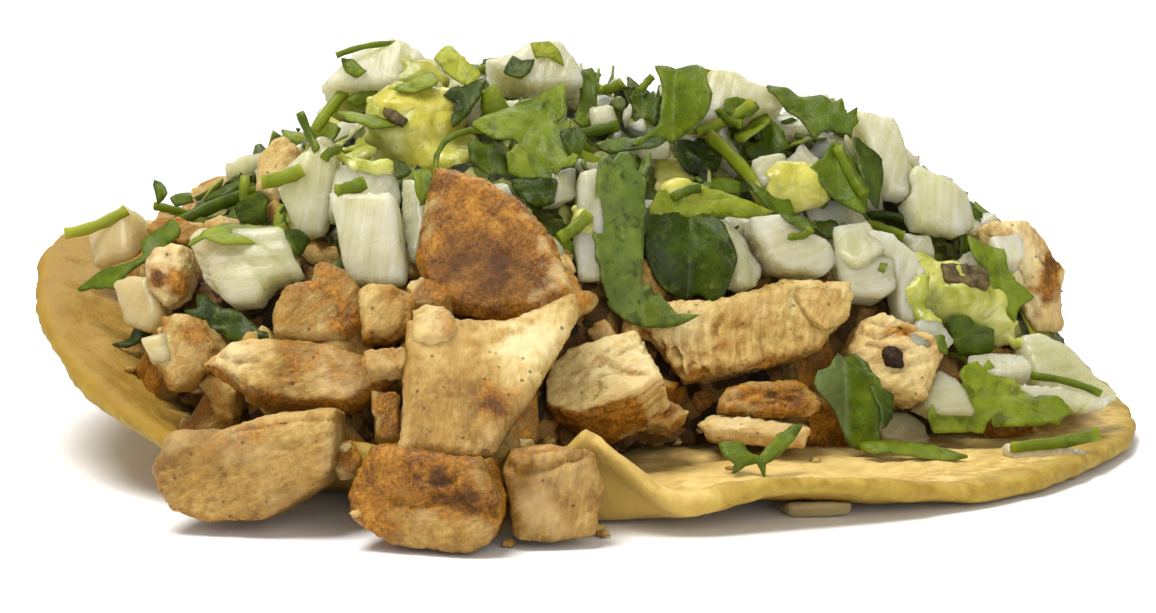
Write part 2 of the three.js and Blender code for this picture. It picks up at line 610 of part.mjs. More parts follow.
// A thin wavy leaf.
function leaf({ outline, fold, curl, thick = 0.7, longest = 4, seed = 1 }, grow = 0) {
  const edge = offset(divided(outline, longest), grow);
  const [halfWidth, halfHeight] = [0, 1].map((k) => Math.max(...outline.map((p) => Math.abs(p[k]))));
  const shares = [0, 0.5, 1, 1, 0.5, 0];
  const wave = dice(seed)() * FULL_TURN;
  return skin(edge.length, shares.length - 1, (i, j) => {
    const x = edge[i].x * shares[j];
    const y = edge[i].y * shares[j];
    const bend = fold * Math.abs(x / halfWidth) - curl * (y / halfHeight) ** 2;
    const flutter = 0.35 * shares[j] * Math.sin(0.9 * x - 0.7 * y + wave);
    const side = j < shares.length / 2 ? 1 : -1;
    return new THREE.Vector3(x, y, bend + flutter + side * (thick / 2 + grow));
  });
}

// A drop of thick salsa, uneven all round.
function drop([x, y, z, radius], seed, grow = 0) {
  const sectors = 8;
  const rings = 6;
  const roll = dice(seed);
  const bumps = [roll(), roll(), roll()].map((r) => r * FULL_TURN);
  return skin(sectors, rings, (i, j) => {
    const around = (i / sectors) * FULL_TURN;
    const down = (j / rings) * Math.PI;
    const out = new THREE.Vector3(
      Math.sin(down) * Math.cos(around),
      Math.sin(down) * Math.sin(around),
      Math.cos(down),
    );
    const bump = Math.sin(4 * out.x + bumps[0]) + Math.sin(4 * out.y + bumps[1]);
    const reach = radius * (1 + 0.06 * bump + 0.04 * Math.sin(5 * out.z + bumps[2])) + grow;
    return out.multiplyScalar(reach).add(new THREE.Vector3(x, y, z));
  });
}

// A cut stalk: a bent rod.
function stalk(length, thick, bend) {
  const path = new THREE.CatmullRomCurve3([
    new THREE.Vector3(-length / 2, 0, 0),
    new THREE.Vector3(0, bend, 0),
    new THREE.Vector3(length / 2, 0, 0),
  ]);
  const section = new THREE.Shape();
  const sides = 5;
  for (let k = 0; k < sides; k++) {
    const angle = (k / sides) * FULL_TURN;
    const x = (thick / 2) * Math.cos(angle);
    const y = (thick / 2) * Math.sin(angle);
    if (k === 0) section.moveTo(x, y);
    else section.lineTo(x, y);
  }
  section.closePath();
  return new THREE.ExtrudeGeometry(section, { steps: 3, extrudePath: path, curveSegments: 1 });
}

// A chopped scrap: a lump with a random outline, or a stalk where it has no sides.
function scrap({ size, thick, sides }, roll) {
  const length = between(roll, size);
  const depth = between(roll, thick);
  if (!sides) return stalk(length, depth, 0.1 * length);
  const outline = [];
  for (let k = 0; k < sides; k++) {
    const angle = (k / sides) * FULL_TURN;
    const reach = (length / 2) * between(roll, [0.75, 1.1]);
    outline.push([reach * Math.cos(angle), 0.75 * reach * Math.sin(angle)]);
  }
  const rough = 0.08 * depth;
  const edge = 0.12 * depth;
  return lump({ outline, thick: depth, rough, edge, longest: 20, plain: true, seed: roll() * 1e6 });
}

// ---------------------------------------------------------------- assembly

const taco = new THREE.Group();
const groups = {};
for (const kind of Object.keys(COLOUR)) {
  groups[kind] = new THREE.Group();
  taco.add(groups[kind]);
}

// Adds a piece to the taco. Its corners are kept in the piece's own frame.
function serve(name, kind, body, place = new THREE.Matrix4()) {
  const geometry = geometryOf(body);
  geometry.applyMatrix4(place.clone().invert());
  const roughness = kind === "onion" ? 0.35 : 0.6;
  const material = new THREE.MeshStandardMaterial({ color: COLOUR[kind], roughness });
  const mesh = new THREE.Mesh(geometry, material);
  mesh.name = name;
  place.decompose(mesh.position, mesh.quaternion, mesh.scale);
  groups[kind].add(mesh);
}

serve("tortilla", "tortilla", solid(tortilla()));

// The tortilla and the whole pieces laid so far, each with the gap round it.
let laid = solid(tortilla(GAP));

const fillingRoom = solid(core(FILLING, GAP));
const filling = largest(solid(core(FILLING)).subtract(laid));
const topping = largest(solid(core(TOPPING)).subtract(laid).subtract(fillingRoom));
const cores = fillingRoom.add(solid(core(TOPPING, GAP)));

// Lays a whole piece: it is cut back to the cores and to what was laid before it.
function lay(row, kind, shape, seed) {
  const spec = { ...row, seed };
  const place = frame(row);
  const whole = solid(shape(spec).applyMatrix4(place));
  serve(row.name, kind, largest(whole.subtract(cores).subtract(laid)), place);
  laid = laid.add(solid(shape(spec, GAP).applyMatrix4(place)));
}

CHICKEN.forEach((row, k) => lay({ rough: 0.45, edge: 0.8, ...row }, "chicken", lump, 100 + k));
ONION.forEach((row, k) => lay({ rough: 0.2, edge: 0.35, ...row }, "onion", lump, 200 + k));
SALSA.forEach(({ name, drops }, k) => {
  const spoonful = (grow) => drops
    .map((spec, n) => solid(drop(spec, 300 + 10 * k + n, grow)))
    .reduce((whole, part) => whole.add(part));
  serve(name, "salsa", largest(spoonful(0).subtract(cores).subtract(laid)));
  laid = laid.add(spoonful(GAP));
});
CILANTRO.forEach((row, k) => lay(row, "cilantro", leaf, 400 + k));

// Fuses scraps to a core, spread evenly over it. A scrap that would cross another piece, or sink
// into the scraps before it, is moved on to the next place.
function strewn(heap, spec, scraps, busy) {
  const roll = dice(scraps.seed);
  const places = 10 * scraps.count;
  let whole = heap;
  let others = null;
  let left = scraps.count;
  for (let n = 0; n < places && left > 0; n++) {
    const angle = n * 2.39996 + 0.3 * roll();
    const spread = lerp(scraps.from ** 2, 1, (n * 0.7549 + 0.05 * roll()) % 1);
    const [x, y] = corePlan(angle, 0.98 * Math.sqrt(spread));
    const slopeX = coreHeight(spec, x + 1, y) - coreHeight(spec, x - 1, y);
    const slopeY = coreHeight(spec, x, y + 1) - coreHeight(spec, x, y - 1);
    const out = new THREE.Vector3(-slopeX / 2, -slopeY / 2, 1).normalize();
    const at = new THREE.Vector3(x, y, coreHeight(spec, x, y)).addScaledVector(out, 0.9);
    const yaw = THREE.MathUtils.radToDeg(Math.atan2(out.x, -out.y)) + 30 * (roll() - 0.5);
    const pitch = THREE.MathUtils.radToDeg(Math.asin(out.z)) + 30 * (roll() - 0.5);
    const place = frame({ at: at.toArray(), turn: [yaw, pitch, 360 * roll()] });
    const piece = solid(scrap(scraps, roll).applyMatrix4(place));
    const joined = whole.add(piece);
    if (piece.intersect(busy).volume() > 0 || joined.decompose().length > 1) continue;
    if (others && piece.intersect(others).volume() > 0.12 * piece.volume()) continue;
    whole = joined;
    others = others ? others.add(piece) : piece;
    left--;
  }
  return whole;
}

const fillingBusy = laid.add(solid(core(TOPPING, GAP)).subtract(solid(core(FILLING))));
let fillingHeap = filling;
for (const row of SCRAPS.filling) fillingHeap = strewn(fillingHeap, FILLING, row, fillingBusy);
serve("chicken_filling", "chicken", fillingHeap);

const toppingBusy = laid.add(fillingRoom).add(fillingHeap);
let toppingHeap = topping;
for (const row of SCRAPS.topping) toppingHeap = strewn(toppingHeap, TOPPING, row, toppingBusy);
serve("topping_heap", "onion", toppingHeap);

export default taco;
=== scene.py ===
"""The looks of an open street taco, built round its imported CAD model.

Lengths in this script are millimetres until a mesh is made; X is to the right, Y away from the
camera, Z up. Pieces that are placed by a pixel of the 1156 x 613 picture are dropped along the
camera's ray onto what lies there.
"""
import itertools
import math
import random

import bpy
import numpy as np
from mathutils import Matrix, Vector, geometry
from mathutils.bvhtree import BVHTree
from mathutils.kdtree import KDTree


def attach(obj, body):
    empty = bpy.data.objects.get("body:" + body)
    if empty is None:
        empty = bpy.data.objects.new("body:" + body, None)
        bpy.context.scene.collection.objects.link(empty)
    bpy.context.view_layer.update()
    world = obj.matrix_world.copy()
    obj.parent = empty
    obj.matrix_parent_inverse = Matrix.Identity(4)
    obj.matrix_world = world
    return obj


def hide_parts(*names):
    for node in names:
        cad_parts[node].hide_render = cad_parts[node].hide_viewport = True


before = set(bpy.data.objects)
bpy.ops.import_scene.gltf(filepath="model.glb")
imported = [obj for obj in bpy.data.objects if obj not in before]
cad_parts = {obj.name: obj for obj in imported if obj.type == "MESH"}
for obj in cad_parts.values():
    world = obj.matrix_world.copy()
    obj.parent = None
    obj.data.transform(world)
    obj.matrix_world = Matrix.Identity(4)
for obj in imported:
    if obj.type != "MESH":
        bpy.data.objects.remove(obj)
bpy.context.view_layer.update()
scene = bpy.context.scene
MM = 0.001

# How high over the table the undersides of the pieces stay, in mm.
PIECE_SOLE = 0.02
LOOSE_SOLE = 0.05

# The seed that the first piece of each kind has; the next ones follow it.
SEEDS = {
    "salsa": 0, "chicken": 20, "onion": 60, "leaf": 120, "meat scrap": 150, "onion scrap": 170,
    "leaf scrap": 200, "stalk": 240, "curled stalk": 270, "run": 300, "onion bit": 300,
    "leaf bit": 330, "stem bit": 360, "meat bit": 380, "crumb": 400,
}

# How fine each kind of mesh is: its voxels in mm and the rounds of smoothing.
CHICKEN_MESH = (0.36, 2)
ONION_MESH = (0.36, 4)
SALSA_MESH = (0.4, 8)
DOUGH_MESH = (0.7, 8)
MEAT_SCRAP_MESH = (0.4, 4)
ONION_SCRAP_MESH = (0.38, 4)
THIN_SALSA_MESH = (0.4, 14)
CHARRED_MESH = (0.25, 1)
PEPPERCORN_MESH = (0.25, 3)

# ------------------------------------------------------------------ camera and light

PICTURE = (1156, 613)
FOCAL = 4077.0  # in pixels of the picture
EYE = Vector((-0.78, -450.0, 84.5))
DOWN = math.radians(8.9)
AHEAD = Vector((0, math.cos(DOWN), -math.sin(DOWN)))
UPRIGHT = Vector((0, math.sin(DOWN), math.cos(DOWN)))


def ray(u, v):
    """The direction from the camera through a pixel of the picture."""
    across = (u - PICTURE[0] / 2) / FOCAL
    up = (PICTURE[1] / 2 - v) / FOCAL
    return (AHEAD + across * Vector((1, 0, 0)) + up * UPRIGHT).normalized()


def make_camera():
    """The camera that took the picture."""
    data = bpy.data.cameras.new("camera")
    data.sensor_fit = "HORIZONTAL"
    data.sensor_width = 36
    data.lens = 36 * FOCAL / PICTURE[0]
    data.clip_start = 0.01
    camera = bpy.data.objects.new("camera", data)
    camera.location = EYE * MM
    camera.rotation_euler = (math.pi / 2 - DOWN, 0, 0)
    scene.collection.objects.link(camera)
    scene.camera = camera


def area_light(name, place, target, size, power, colour):
    """A round soft lamp. Place, target and size are in metres, power in watts."""
    data = bpy.data.lights.new(name, "AREA")
    data.shape = "DISK"
    data.size = size
    data.energy = power
    data.color = colour
    lamp = bpy.data.objects.new(name, data)
    lamp.location = place
    aim = Vector(target) - Vector(place)
    lamp.rotation_euler = aim.to_track_quat("-Z", "Y").to_euler()
    scene.collection.objects.link(lamp)


def make_light():
    """An even studio: a white world and three soft lamps."""
    scene.view_settings.view_transform = "Standard"
    world = bpy.data.worlds.new("studio")
    world.use_nodes = True
    background = world.node_tree.nodes["Background"]
    background.inputs["Color"].default_value = (1, 1, 1, 1)
    background.inputs["Strength"].default_value = 0.42
    scene.world = world
    area_light("key", (-0.22, -0.2, 0.7), (0, 0, 0.01), 0.4, 6.0, (1, 0.98, 0.94))
    area_light("fill", (0.16, -0.6, 0.16), (0, 0, 0.01), 0.5, 1.7, (1, 1, 1))
    area_light("back", (0.05, 0.55, 0.6), (0, 0, 0.02), 0.5, 2.6, (1, 1, 1))


make_camera()
make_light()

# ------------------------------------------------------------------ numbers


GRADIENTS = np.array(
    [g for g in itertools.product((-1, 0, 1), repeat=3) if sum(map(abs, g)) == 2], float
)


def noise(points, seed):
    """Smooth gradient noise, about -1 to 1, at each row of points."""
    points = np.asarray(points, float)
    cell = np.floor(points).astype(np.int64)
    part = points - cell
    ease = part**3 * (part * (part * 6 - 15) + 10)
    total = np.zeros(len(points))
    for corner in itertools.product((0, 1), repeat=3):
        c = cell + corner
        mixed = c[:, 0] * 374761393 + c[:, 1] * 668265263 + c[:, 2] * 1440670441 + seed * 974634777
        mixed = (mixed ^ (mixed >> 13)) * 1274126177
        pick = ((mixed ^ (mixed >> 16)) & 0x7FFFFFFF) % len(GRADIENTS)
        slope = ((part - corner) * GRADIENTS[pick]).sum(1)
        weight = np.prod(np.where(corner, ease, 1 - ease), axis=1)
        total += weight * slope
    return total * 1.4


def layered(points, octaves, seed):
    """Noise with finer and weaker noise added on top."""
    points = np.asarray(points, float)
    total = np.zeros(len(points))
    for k in range(octaves):
        total += noise(points * 2**k, seed + k) * 0.5**k
    return total


def smoothstep(low, high, values):
    """Eases from 0 at low to 1 at high; low may be the larger one."""
    t = np.clip((np.asarray(values, float) - low) / (high - low), 0, 1)
    return t * t * (3 - 2 * t)


def turned(at, turn):
    """The frame of a piece: yaw, pitch and roll as in the CAD source."""
    yaw, pitch, roll = (math.radians(a) for a in turn)
    return (
        Matrix.Translation(at)
        @ Matrix.Rotation(yaw, 4, "Z")
        @ Matrix.Rotation(math.pi / 2 - pitch, 4, "X")
        @ Matrix.Rotation(roll, 4, "Z")
    )


def moved(points, matrix):
    """Rows of points as a matrix places them."""
    m = np.array(matrix)
    return points @ m[:3, :3].T + m[:3, 3]


# ------------------------------------------------------------------ meshes as arrays


class Shape:
    """Points in millimetres, faces as rows of indices, and named values at the points."""

    def __init__(self, points, faces, **values):
        self.points = np.asarray(points, float)
        self.faces = faces
        self.values = {k: np.asarray(v, float) for k, v in values.items()}

    def normals(self):
        normals = np.zeros_like(self.points)
        for size in (3, 4):
            rows = np.array([f for f in self.faces if len(f) == size], int).reshape(-1, size)
            if not len(rows):
                continue
            a = self.points[rows[:, 2]] - self.points[rows[:, 0]]
            b = self.points[rows[:, -1]] - self.points[rows[:, 1]]
            flat = np.cross(a, b)
            for k in range(size):
                for axis in range(3):
                    normals[:, axis] += np.bincount(rows[:, k], flat[:, axis], len(normals))
        return normals / np.maximum(np.linalg.norm(normals, axis=1), 1e-9)[:, None]

    def placed(self, matrix):
        return Shape(moved(self.points, matrix), self.faces, **self.values)

    def keep_above(self, low):
        """Lifts the points that lie below a height up to it."""
        self.points[:, 2] = np.maximum(self.points[:, 2], low)

    def crown(self, rounds):
        """How far each point of a mesh of quads stands out from those round it, in mm."""
        rows = np.array(self.faces)
        a, b = rows.ravel(), np.roll(rows, -1, axis=1).ravel()
        size = len(self.points)
        links = np.bincount(a, minlength=size) + np.bincount(b, minlength=size)

        def round_mean(values):
            total = np.bincount(a, values[b], size) + np.bincount(b, values[a], size)
            return total / np.maximum(links, 1)

        beside = np.stack([round_mean(axis) for axis in self.points.T], 1)
        height = ((self.points - beside) * self.normals()).sum(1)
        for _ in range(rounds):
            height = round_mean(height)
        return height


def joined(shapes):
    """Several shapes as one."""
    points, faces, values, start = [], [], {}, 0
    for shape in shapes:
        points.append(shape.points)
        faces.extend((np.asarray(f) + start).tolist() for f in shape.faces)
        for key, value in shape.values.items():
            values.setdefault(key, []).append(value)
        start += len(shape.points)
    return Shape(
        np.concatenate(points), faces, **{k: np.concatenate(v) for k, v in values.items()}
    )


def remeshed(mesh, voxel, smooth):
    """A fine even mesh of quads over a closed mesh, its edges softened."""
    helper = bpy.data.objects.new("helper", mesh)
    scene.collection.objects.link(helper)
    remesh = helper.modifiers.new("remesh", "REMESH")
    remesh.mode = "VOXEL"
    remesh.voxel_size = voxel * MM
    soften = helper.modifiers.new("soften", "SMOOTH")
    soften.factor = 0.5
    soften.iterations = smooth
    graph = bpy.context.evaluated_depsgraph_get()
    mesh = bpy.data.meshes.new_from_object(helper.evaluated_get(graph))
    points = np.empty(len(mesh.vertices) * 3)
    mesh.vertices.foreach_get("co", points)
    corners = np.empty(len(mesh.loops), np.int32)
    mesh.loops.foreach_get("vertex_index", corners)
    bpy.data.objects.remove(helper)
    return Shape(points.reshape(-1, 3) / MM, corners.reshape(-1, 4).tolist())


def largest_part(shape):
    """A shape of quads without the bubbles that a remesh leaves inside it."""
    faces = np.array(shape.faces)
    label = np.arange(len(shape.points))
    settled_down = False
    while not settled_down:
        lower = label.copy()
        for corner in faces.T:
            np.minimum.at(lower, corner, label[faces].min(1))
        lower = lower[lower]
        settled_down = (lower == label).all()
        label = lower
    kept = label == np.bincount(label).argmax()
    index = np.cumsum(kept) - 1
    values = {key: value[kept] for key, value in shape.values.items()}
    return Shape(shape.points[kept], index[faces[kept[faces[:, 0]]]].tolist(), **values)


def solid_of(node):
    """The shape of a CAD node as it is."""
    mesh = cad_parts[node].data
    return Shape([v.co / MM for v in mesh.vertices], [list(f.vertices) for f in mesh.polygons])


def refined(node, voxel, smooth):
    """The shape of a CAD node as a fine even mesh."""
    return remeshed(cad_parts[node].data.copy(), voxel, smooth)


def melted(shapes, voxel, smooth):
    """Several closed shapes that run into one another as one even mesh."""
    whole = joined(shapes)
    mesh = bpy.data.meshes.new("melted")
    mesh.from_pydata((whole.points * MM).tolist(), [], whole.faces)
    return remeshed(mesh, voxel, smooth)


def piece(name, shape, material, nodes=()):
    """Makes a piece of the taco from a shape."""
    mesh = bpy.data.meshes.new(name)
    mesh.from_pydata((shape.points * MM).tolist(), [], shape.faces)
    mesh.polygons.foreach_set("use_smooth", [True] * len(mesh.polygons))
    for key, value in shape.values.items():
        if value.ndim == 1:
            mesh.attributes.new(key, "FLOAT", "POINT").data.foreach_set("value", value)
        else:
            mesh.attributes.new(key, "FLOAT_VECTOR", "POINT").data.foreach_set(
                "vector", value.ravel()
            )
    mesh.materials.append(material)
    mesh.update()
    made = bpy.data.objects.new(name, mesh)
    scene.collection.objects.link(made)
    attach(made, "root")
    if nodes:
        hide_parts(*nodes)


# ------------------------------------------------------------------ shader nodes


def rgb(red, green, blue):
    """An sRGB colour of 0 to 255 as the linear one that a shader takes."""
    line = [c / 255 for c in (red, green, blue)]
    return tuple(c / 12.92 if c <= 0.04045 else ((c + 0.055) / 1.055) ** 2.4 for c in line) + (1,)


class Graph:
    """Builds a material. A socket is given a link or a plain value alike, and what is the same
    all over is set on the shader's own sockets, by their names with _ for each space."""

    def __init__(self, name, **fixed):
        self.material = bpy.data.materials.new(name)
        self.material.use_nodes = True
        self.tree = self.material.node_tree
        self.shader = self.tree.nodes["Principled BSDF"]
        for socket, value in fixed.items():
            self.set(self.shader, socket.replace("_", " "), value)

    def set(self, node, socket, value):
        target = node.inputs[socket]
        if isinstance(value, bpy.types.NodeSocket):
            self.tree.links.new(value, target)
        else:
            target.default_value = value

    def node(self, kind, sockets, output=0, **settings):
        made = self.tree.nodes.new("ShaderNode" + kind)
        for key, value in settings.items():
            setattr(made, key, value)
        for socket, value in sockets.items():
            self.set(made, socket, value)
        return made.outputs[output]

    def value(self, name):
        return self.node("Attribute", {}, "Fac", attribute_name=name)

    def vector(self, name):
        return self.node("Attribute", {}, "Vector", attribute_name=name)

    def noise(self, where, scale, detail=4, rough=0.55, distortion=0.0):
        sockets = {"Vector": where, "Scale": scale, "Detail": detail, "Roughness": rough}
        return self.node("TexNoise", {**sockets, "Distortion": distortion}, "Fac")

    def cells(self, where, scale, output="Distance", **settings):
        return self.node("TexVoronoi", {"Vector": where, "Scale": scale}, output, **settings)

    def stretch(self, where, x, y, z):
        return self.node("Mapping", {"Vector": where, "Scale": (x, y, z)})

    def math(self, kind, a, b=0.0):
        return self.node("Math", {0: a, 1: b}, operation=kind)

    def range(self, value, low, high, to_low=0.0, to_high=1.0):
        sockets = {"Value": value, "From Min": low, "From Max": high}
        return self.node("MapRange", {**sockets, "To Min": to_low, "To Max": to_high})

    def ramp(self, value, *stops):
        """A colour by a value. Each stop is a position and an sRGB colour."""
        made = self.tree.nodes.new("ShaderNodeValToRGB")
        elements = made.color_ramp.elements
        while len(elements) < len(stops):
            elements.new(1.0)
        for element, (position, *shade) in zip(elements, stops):
            element.position = position
            element.color = rgb(*shade)
        self.set(made, "Fac", value)
        return made.outputs["Color"]

    def mix(self, share, a, b):
        return self.node("Mix", {"Factor": share, 6: a, 7: b}, 2, data_type="RGBA")

    def tint(self, colour, amount, share, *shade):
        """A colour turned to an sRGB shade by an amount, and by no more than a share."""
        return self.mix(self.math("MULTIPLY", amount, share), colour, rgb(*shade))

    def weighted(self, *terms):
        """The sum of values, each given with its weight."""
        total = None
        for value, weight in terms:
            part = self.math("MULTIPLY", value, weight)
            total = part if total is None else self.math("ADD", total, part)
        return total

    def specks(self, where, scale, solid, chosen_by):
        """Dots in some cells of a pattern, solid up to a radius and fading out at 0.2. Cells
        are chosen by a random number over 0.6, in full from `chosen_by` on."""
        chance = self.node("SeparateColor", {"Color": self.cells(where, scale, "Color")}, 0)
        dots = self.range(self.cells(where, scale), 0.2, solid)
        return self.math("MULTIPLY", dots, self.range(chance, 0.6, chosen_by))

    def bump(self, height, distance, strength, under=None):
        sockets = {"Height": height, "Distance": distance * MM, "Strength": strength}
        if under is not None:
            sockets["Normal"] = under
        return self.node("Bump", sockets)

    def finish(self, colour, roughness=None, normal=None):
        self.set(self.shader, "Base Color", colour)
        if roughness is not None:
            self.set(self.shader, "Roughness", roughness)
        if normal is not None:
            self.set(self.shader, "Normal", normal)
        return self.material


def chicken_material():
    """Grilled chicken: moist cream cut faces, browned faces, pepper specks. `sear` says how
    browned a point is, which in the cracks and on some undersides is painted shade, `pale`
    shifts its cut faces lighter or darker, partly as painted light and shade, and `grain` holds a
    place in millimetres, X along the fibres."""
    g = Graph(
        "chicken", IOR=1.4, Specular_IOR_Level=0.36,
        Subsurface_Weight=0.3, Subsurface_Scale=0.0022, Subsurface_Radius=(1.0, 0.7, 0.35),
    )
    place = g.vector("grain")
    fibre = g.noise(g.stretch(place, 0.4, 2.0, 2.0), 1.0, 5, 0.6)
    grit = g.noise(place, 1.3, 5, 0.7)
    cloud = g.noise(place, 0.13, 4, 0.55)
    patch = g.noise(place, 0.36, 6, 0.62, 0.6)
    fine = g.noise(place, 2.6, 4, 0.65)
    mixed = g.weighted((fibre, 0.26), (cloud, 0.5), (grit, 0.24))
    cut = g.ramp(
        g.math("ADD", mixed, g.value("pale")),
        (0.34, 122, 88, 36), (0.43, 156, 122, 58), (0.51, 182, 152, 86), (0.59, 202, 178, 116),
        (0.7, 224, 206, 156),
    )
    wash = g.range(g.noise(place, 0.11, 3), 0.48, 0.66, 0.0, 0.5)
    cut = g.mix(wash, cut, rgb(176, 134, 60))
    cream = g.range(g.noise(place, 0.14, 3, 0.5, 0.4), 0.5, 0.36, 0.0, 0.5)
    cut = g.mix(cream, cut, rgb(206, 177, 120))
    browned = g.ramp(
        g.weighted((patch, 0.6), (fine, 0.4)),
        (0.35, 56, 29, 2), (0.43, 98, 58, 6), (0.5, 132, 84, 14), (0.56, 158, 106, 24),
        (0.66, 190, 142, 56),
    )
    crisp = g.range(g.noise(place, 4.5, 3, 0.7), 0.5, 0.7, 0.0, 0.36)
    browned = g.mix(crisp, browned, rgb(210, 154, 66))
    amount = g.range(
        g.math("ADD", g.value("sear"), g.range(patch, 0.3, 0.7, -0.35, 0.35)), 0.25, 0.85
    )
    colour = g.mix(amount, cut, browned)
    colour = g.mix(g.range(g.value("sear"), 1.0, 1.8, 0.0, 0.85), colour, rgb(64, 32, 6))
    colour = g.tint(colour, g.specks(place, 0.8, 0.08, 0.64), 0.75, 60, 38, 18)
    rough = g.range(patch, 0.3, 0.7, 0.24, 0.46)
    threads = g.noise(g.stretch(place, 0.8, 2.4, 2.4), 1.0, 4, 0.6)
    normal = g.bump(threads, 0.3, 0.6)
    normal = g.bump(fine, 0.26, 0.8, normal)
    return g.finish(colour, rough, normal)


def onion_material():
    """Raw white onion: wet, translucent, finely veined. `tone` shifts it to green, `edge` marks
    its corners, and a beige tint lies low down, where it is painted warm shade under the rim,
    and a little at the left end and at random on the small dice."""
    g = Graph(
        "onion", IOR=1.36, Transmission_Weight=0.3, Specular_IOR_Level=0.55,
        Subsurface_Weight=1.0, Subsurface_Scale=0.007, Subsurface_Radius=(1.0, 0.97, 0.8),
    )
    place = g.vector("grain")
    veins = g.noise(g.stretch(place, 0.08, 1.7, 0.5), 1.0, 4, 0.6)
    cloud = g.noise(place, 0.22, 3)
    base = g.ramp(
        g.weighted((veins, 0.45), (cloud, 0.55)),
        (0.34, 190, 184, 140), (0.5, 210, 205, 172), (0.64, 227, 224, 204),
    )
    colour = g.tint(base, g.value("tone"), 0.7, 186, 188, 112)
    colour = g.tint(colour, g.value("edge"), 0.35, 190, 184, 112)
    # Beige tint: low down it is painted warm shade under the rim.
    colour = g.mix(g.value("soaked"), colour, rgb(206, 172, 110))
    normal = g.bump(veins, 0.16, 0.6)
    normal = g.bump(g.noise(place, 2.2, 4), 0.1, 0.5, normal)
    return g.finish(colour, g.range(cloud, 0.3, 0.7, 0.2, 0.36), normal)


def leaf_material():
    """Cilantro: `tone` runs from dark to pale yellow-green, `blade` is the place along and across
    the leaf, which gives its veins, `under` the paler lower face and `bruise` dark cut marks."""
    g = Graph("cilantro", IOR=1.4, Specular_IOR_Level=0.35)
    blade = g.vector("blade")
    parts = g.tree.nodes.new("ShaderNodeSeparateXYZ")
    g.set(parts, "Vector", blade)
    along, across = parts.outputs[0], parts.outputs[1]
    aside = g.math("ABSOLUTE", across)
    cloud = g.noise(blade, 0.3, 5, 0.6)
    middle = g.range(aside, 0.22, 0.08)
    row = g.math("SUBTRACT", along, g.math("MULTIPLY", aside, 0.8))
    row = g.weighted((row, 0.42), (cloud, 1.3))
    away = g.math("ABSOLUTE", g.math("SUBTRACT", g.math("FRACT", row), 0.5))
    vein = g.math("MAXIMUM", middle, g.range(away, 0.07, 0.02, 0.0, 0.7))
    vein = g.math("MULTIPLY", vein, g.range(g.value("veined"), 0.0, 1.0))
    tone = g.math("ADD", g.value("tone"), g.range(cloud, 0.3, 0.7, -0.14, 0.14))
    colour = g.ramp(
        tone,
        (0.0, 28, 38, 4), (0.25, 56, 72, 10), (0.5, 94, 114, 18), (0.75, 134, 148, 28),
        (1.0, 182, 184, 62),
    )
    colour = g.tint(colour, g.value("under"), 0.5, 128, 142, 96)
    net = g.range(g.cells(blade, 1.3, feature="DISTANCE_TO_EDGE"), 0.0, 0.12, 1.0, 0.0)
    net = g.math("MULTIPLY", net, g.value("veined"))
    colour = g.tint(colour, net, 0.05, 150, 160, 80)
    colour = g.tint(colour, vein, 0.14, 146, 156, 88)
    # Painted highlights where this noise is high and painted shade where it is low.
    painted_sheen_and_shade = g.noise(blade, 0.9, 5, 0.65)
    colour = g.mix(g.range(painted_sheen_and_shade, 0.56, 0.72, 0.0, 0.3), colour, rgb(160, 170, 70))
    colour = g.mix(g.range(painted_sheen_and_shade, 0.42, 0.3, 0.0, 0.45), colour, rgb(30, 42, 6))
    marks = g.math("MULTIPLY", g.value("bruise"), g.range(g.noise(blade, 0.55, 4), 0.56, 0.66))
    colour = g.mix(marks, colour, rgb(22, 30, 8))
    skin = g.noise(blade, 1.5, 4, 0.6)
    ribs = g.math("ADD", vein, g.math("MULTIPLY", net, 0.3))
    height = g.math("SUBTRACT", skin, g.math("MULTIPLY", ribs, 0.35))
    normal = g.bump(height, 0.2, 0.6)
    material = g.finish(colour, g.range(cloud, 0.3, 0.7, 0.3, 0.46), normal)
    through = g.node("BsdfTranslucent", {"Color": colour, "Normal": normal})
    both = g.node("MixShader", {"Fac": 0.3, 1: g.shader.outputs[0], 2: through})
    g.set(g.tree.nodes["Material Output"], "Surface", both)
    return material


def salsa_material():
    """Creamy green salsa: glossy, streaked, from yellow (`tone` 0) to watery green (`tone` 1)."""
    g = Graph(
        "salsa", IOR=1.42, Roughness=0.24, Specular_IOR_Level=0.5,
        Subsurface_Weight=0.5, Subsurface_Scale=0.002, Subsurface_Radius=(1.0, 0.95, 0.4),
    )
    place = g.vector("grain")
    swirl = g.noise(place, 0.28, 5, 0.55, 0.8)
    yellow = g.ramp(
        swirl,
        (0.3, 154, 144, 44), (0.46, 182, 172, 66), (0.58, 200, 191, 90), (0.75, 216, 210, 134),
    )
    green = g.ramp(
        swirl,
        (0.3, 122, 130, 38), (0.46, 158, 162, 68), (0.58, 180, 180, 96), (0.72, 206, 204, 138),
    )
    colour = g.mix(g.value("tone"), yellow, green)
    flecks = g.range(g.cells(place, 0.8), 0.16, 0.08)
    colour = g.tint(colour, flecks, 0.5, 92, 110, 26)
    normal = g.bump(g.noise(place, 1.1, 4, 0.6), 0.2, 0.6)
    return g.finish(colour, None, normal)


def mixture_material(name, dark, middle, light):
    """What shows between the pieces of a heap: small moist bits of several colours, whose darker
    colours paint in the shade of the gaps between the pieces.
    """
    g = Graph(name, IOR=1.4, Roughness=0.45, Specular_IOR_Level=0.3)
    place = g.vector("grain")
    bits = g.cells(place, 0.5, "Color")
    pick = g.node("SeparateColor", {"Color": bits}, 0)
    shade = g.weighted((pick, 0.6), (g.noise(place, 1.2), 0.4))
    colour = g.ramp(shade, (0.25, *dark), (0.55, *middle), (0.9, *light))
    height = g.math("ADD", g.cells(place, 0.5), g.noise(place, 2.2, 4))
    return g.finish(colour, None, g.bump(height, 0.5, 0.8))


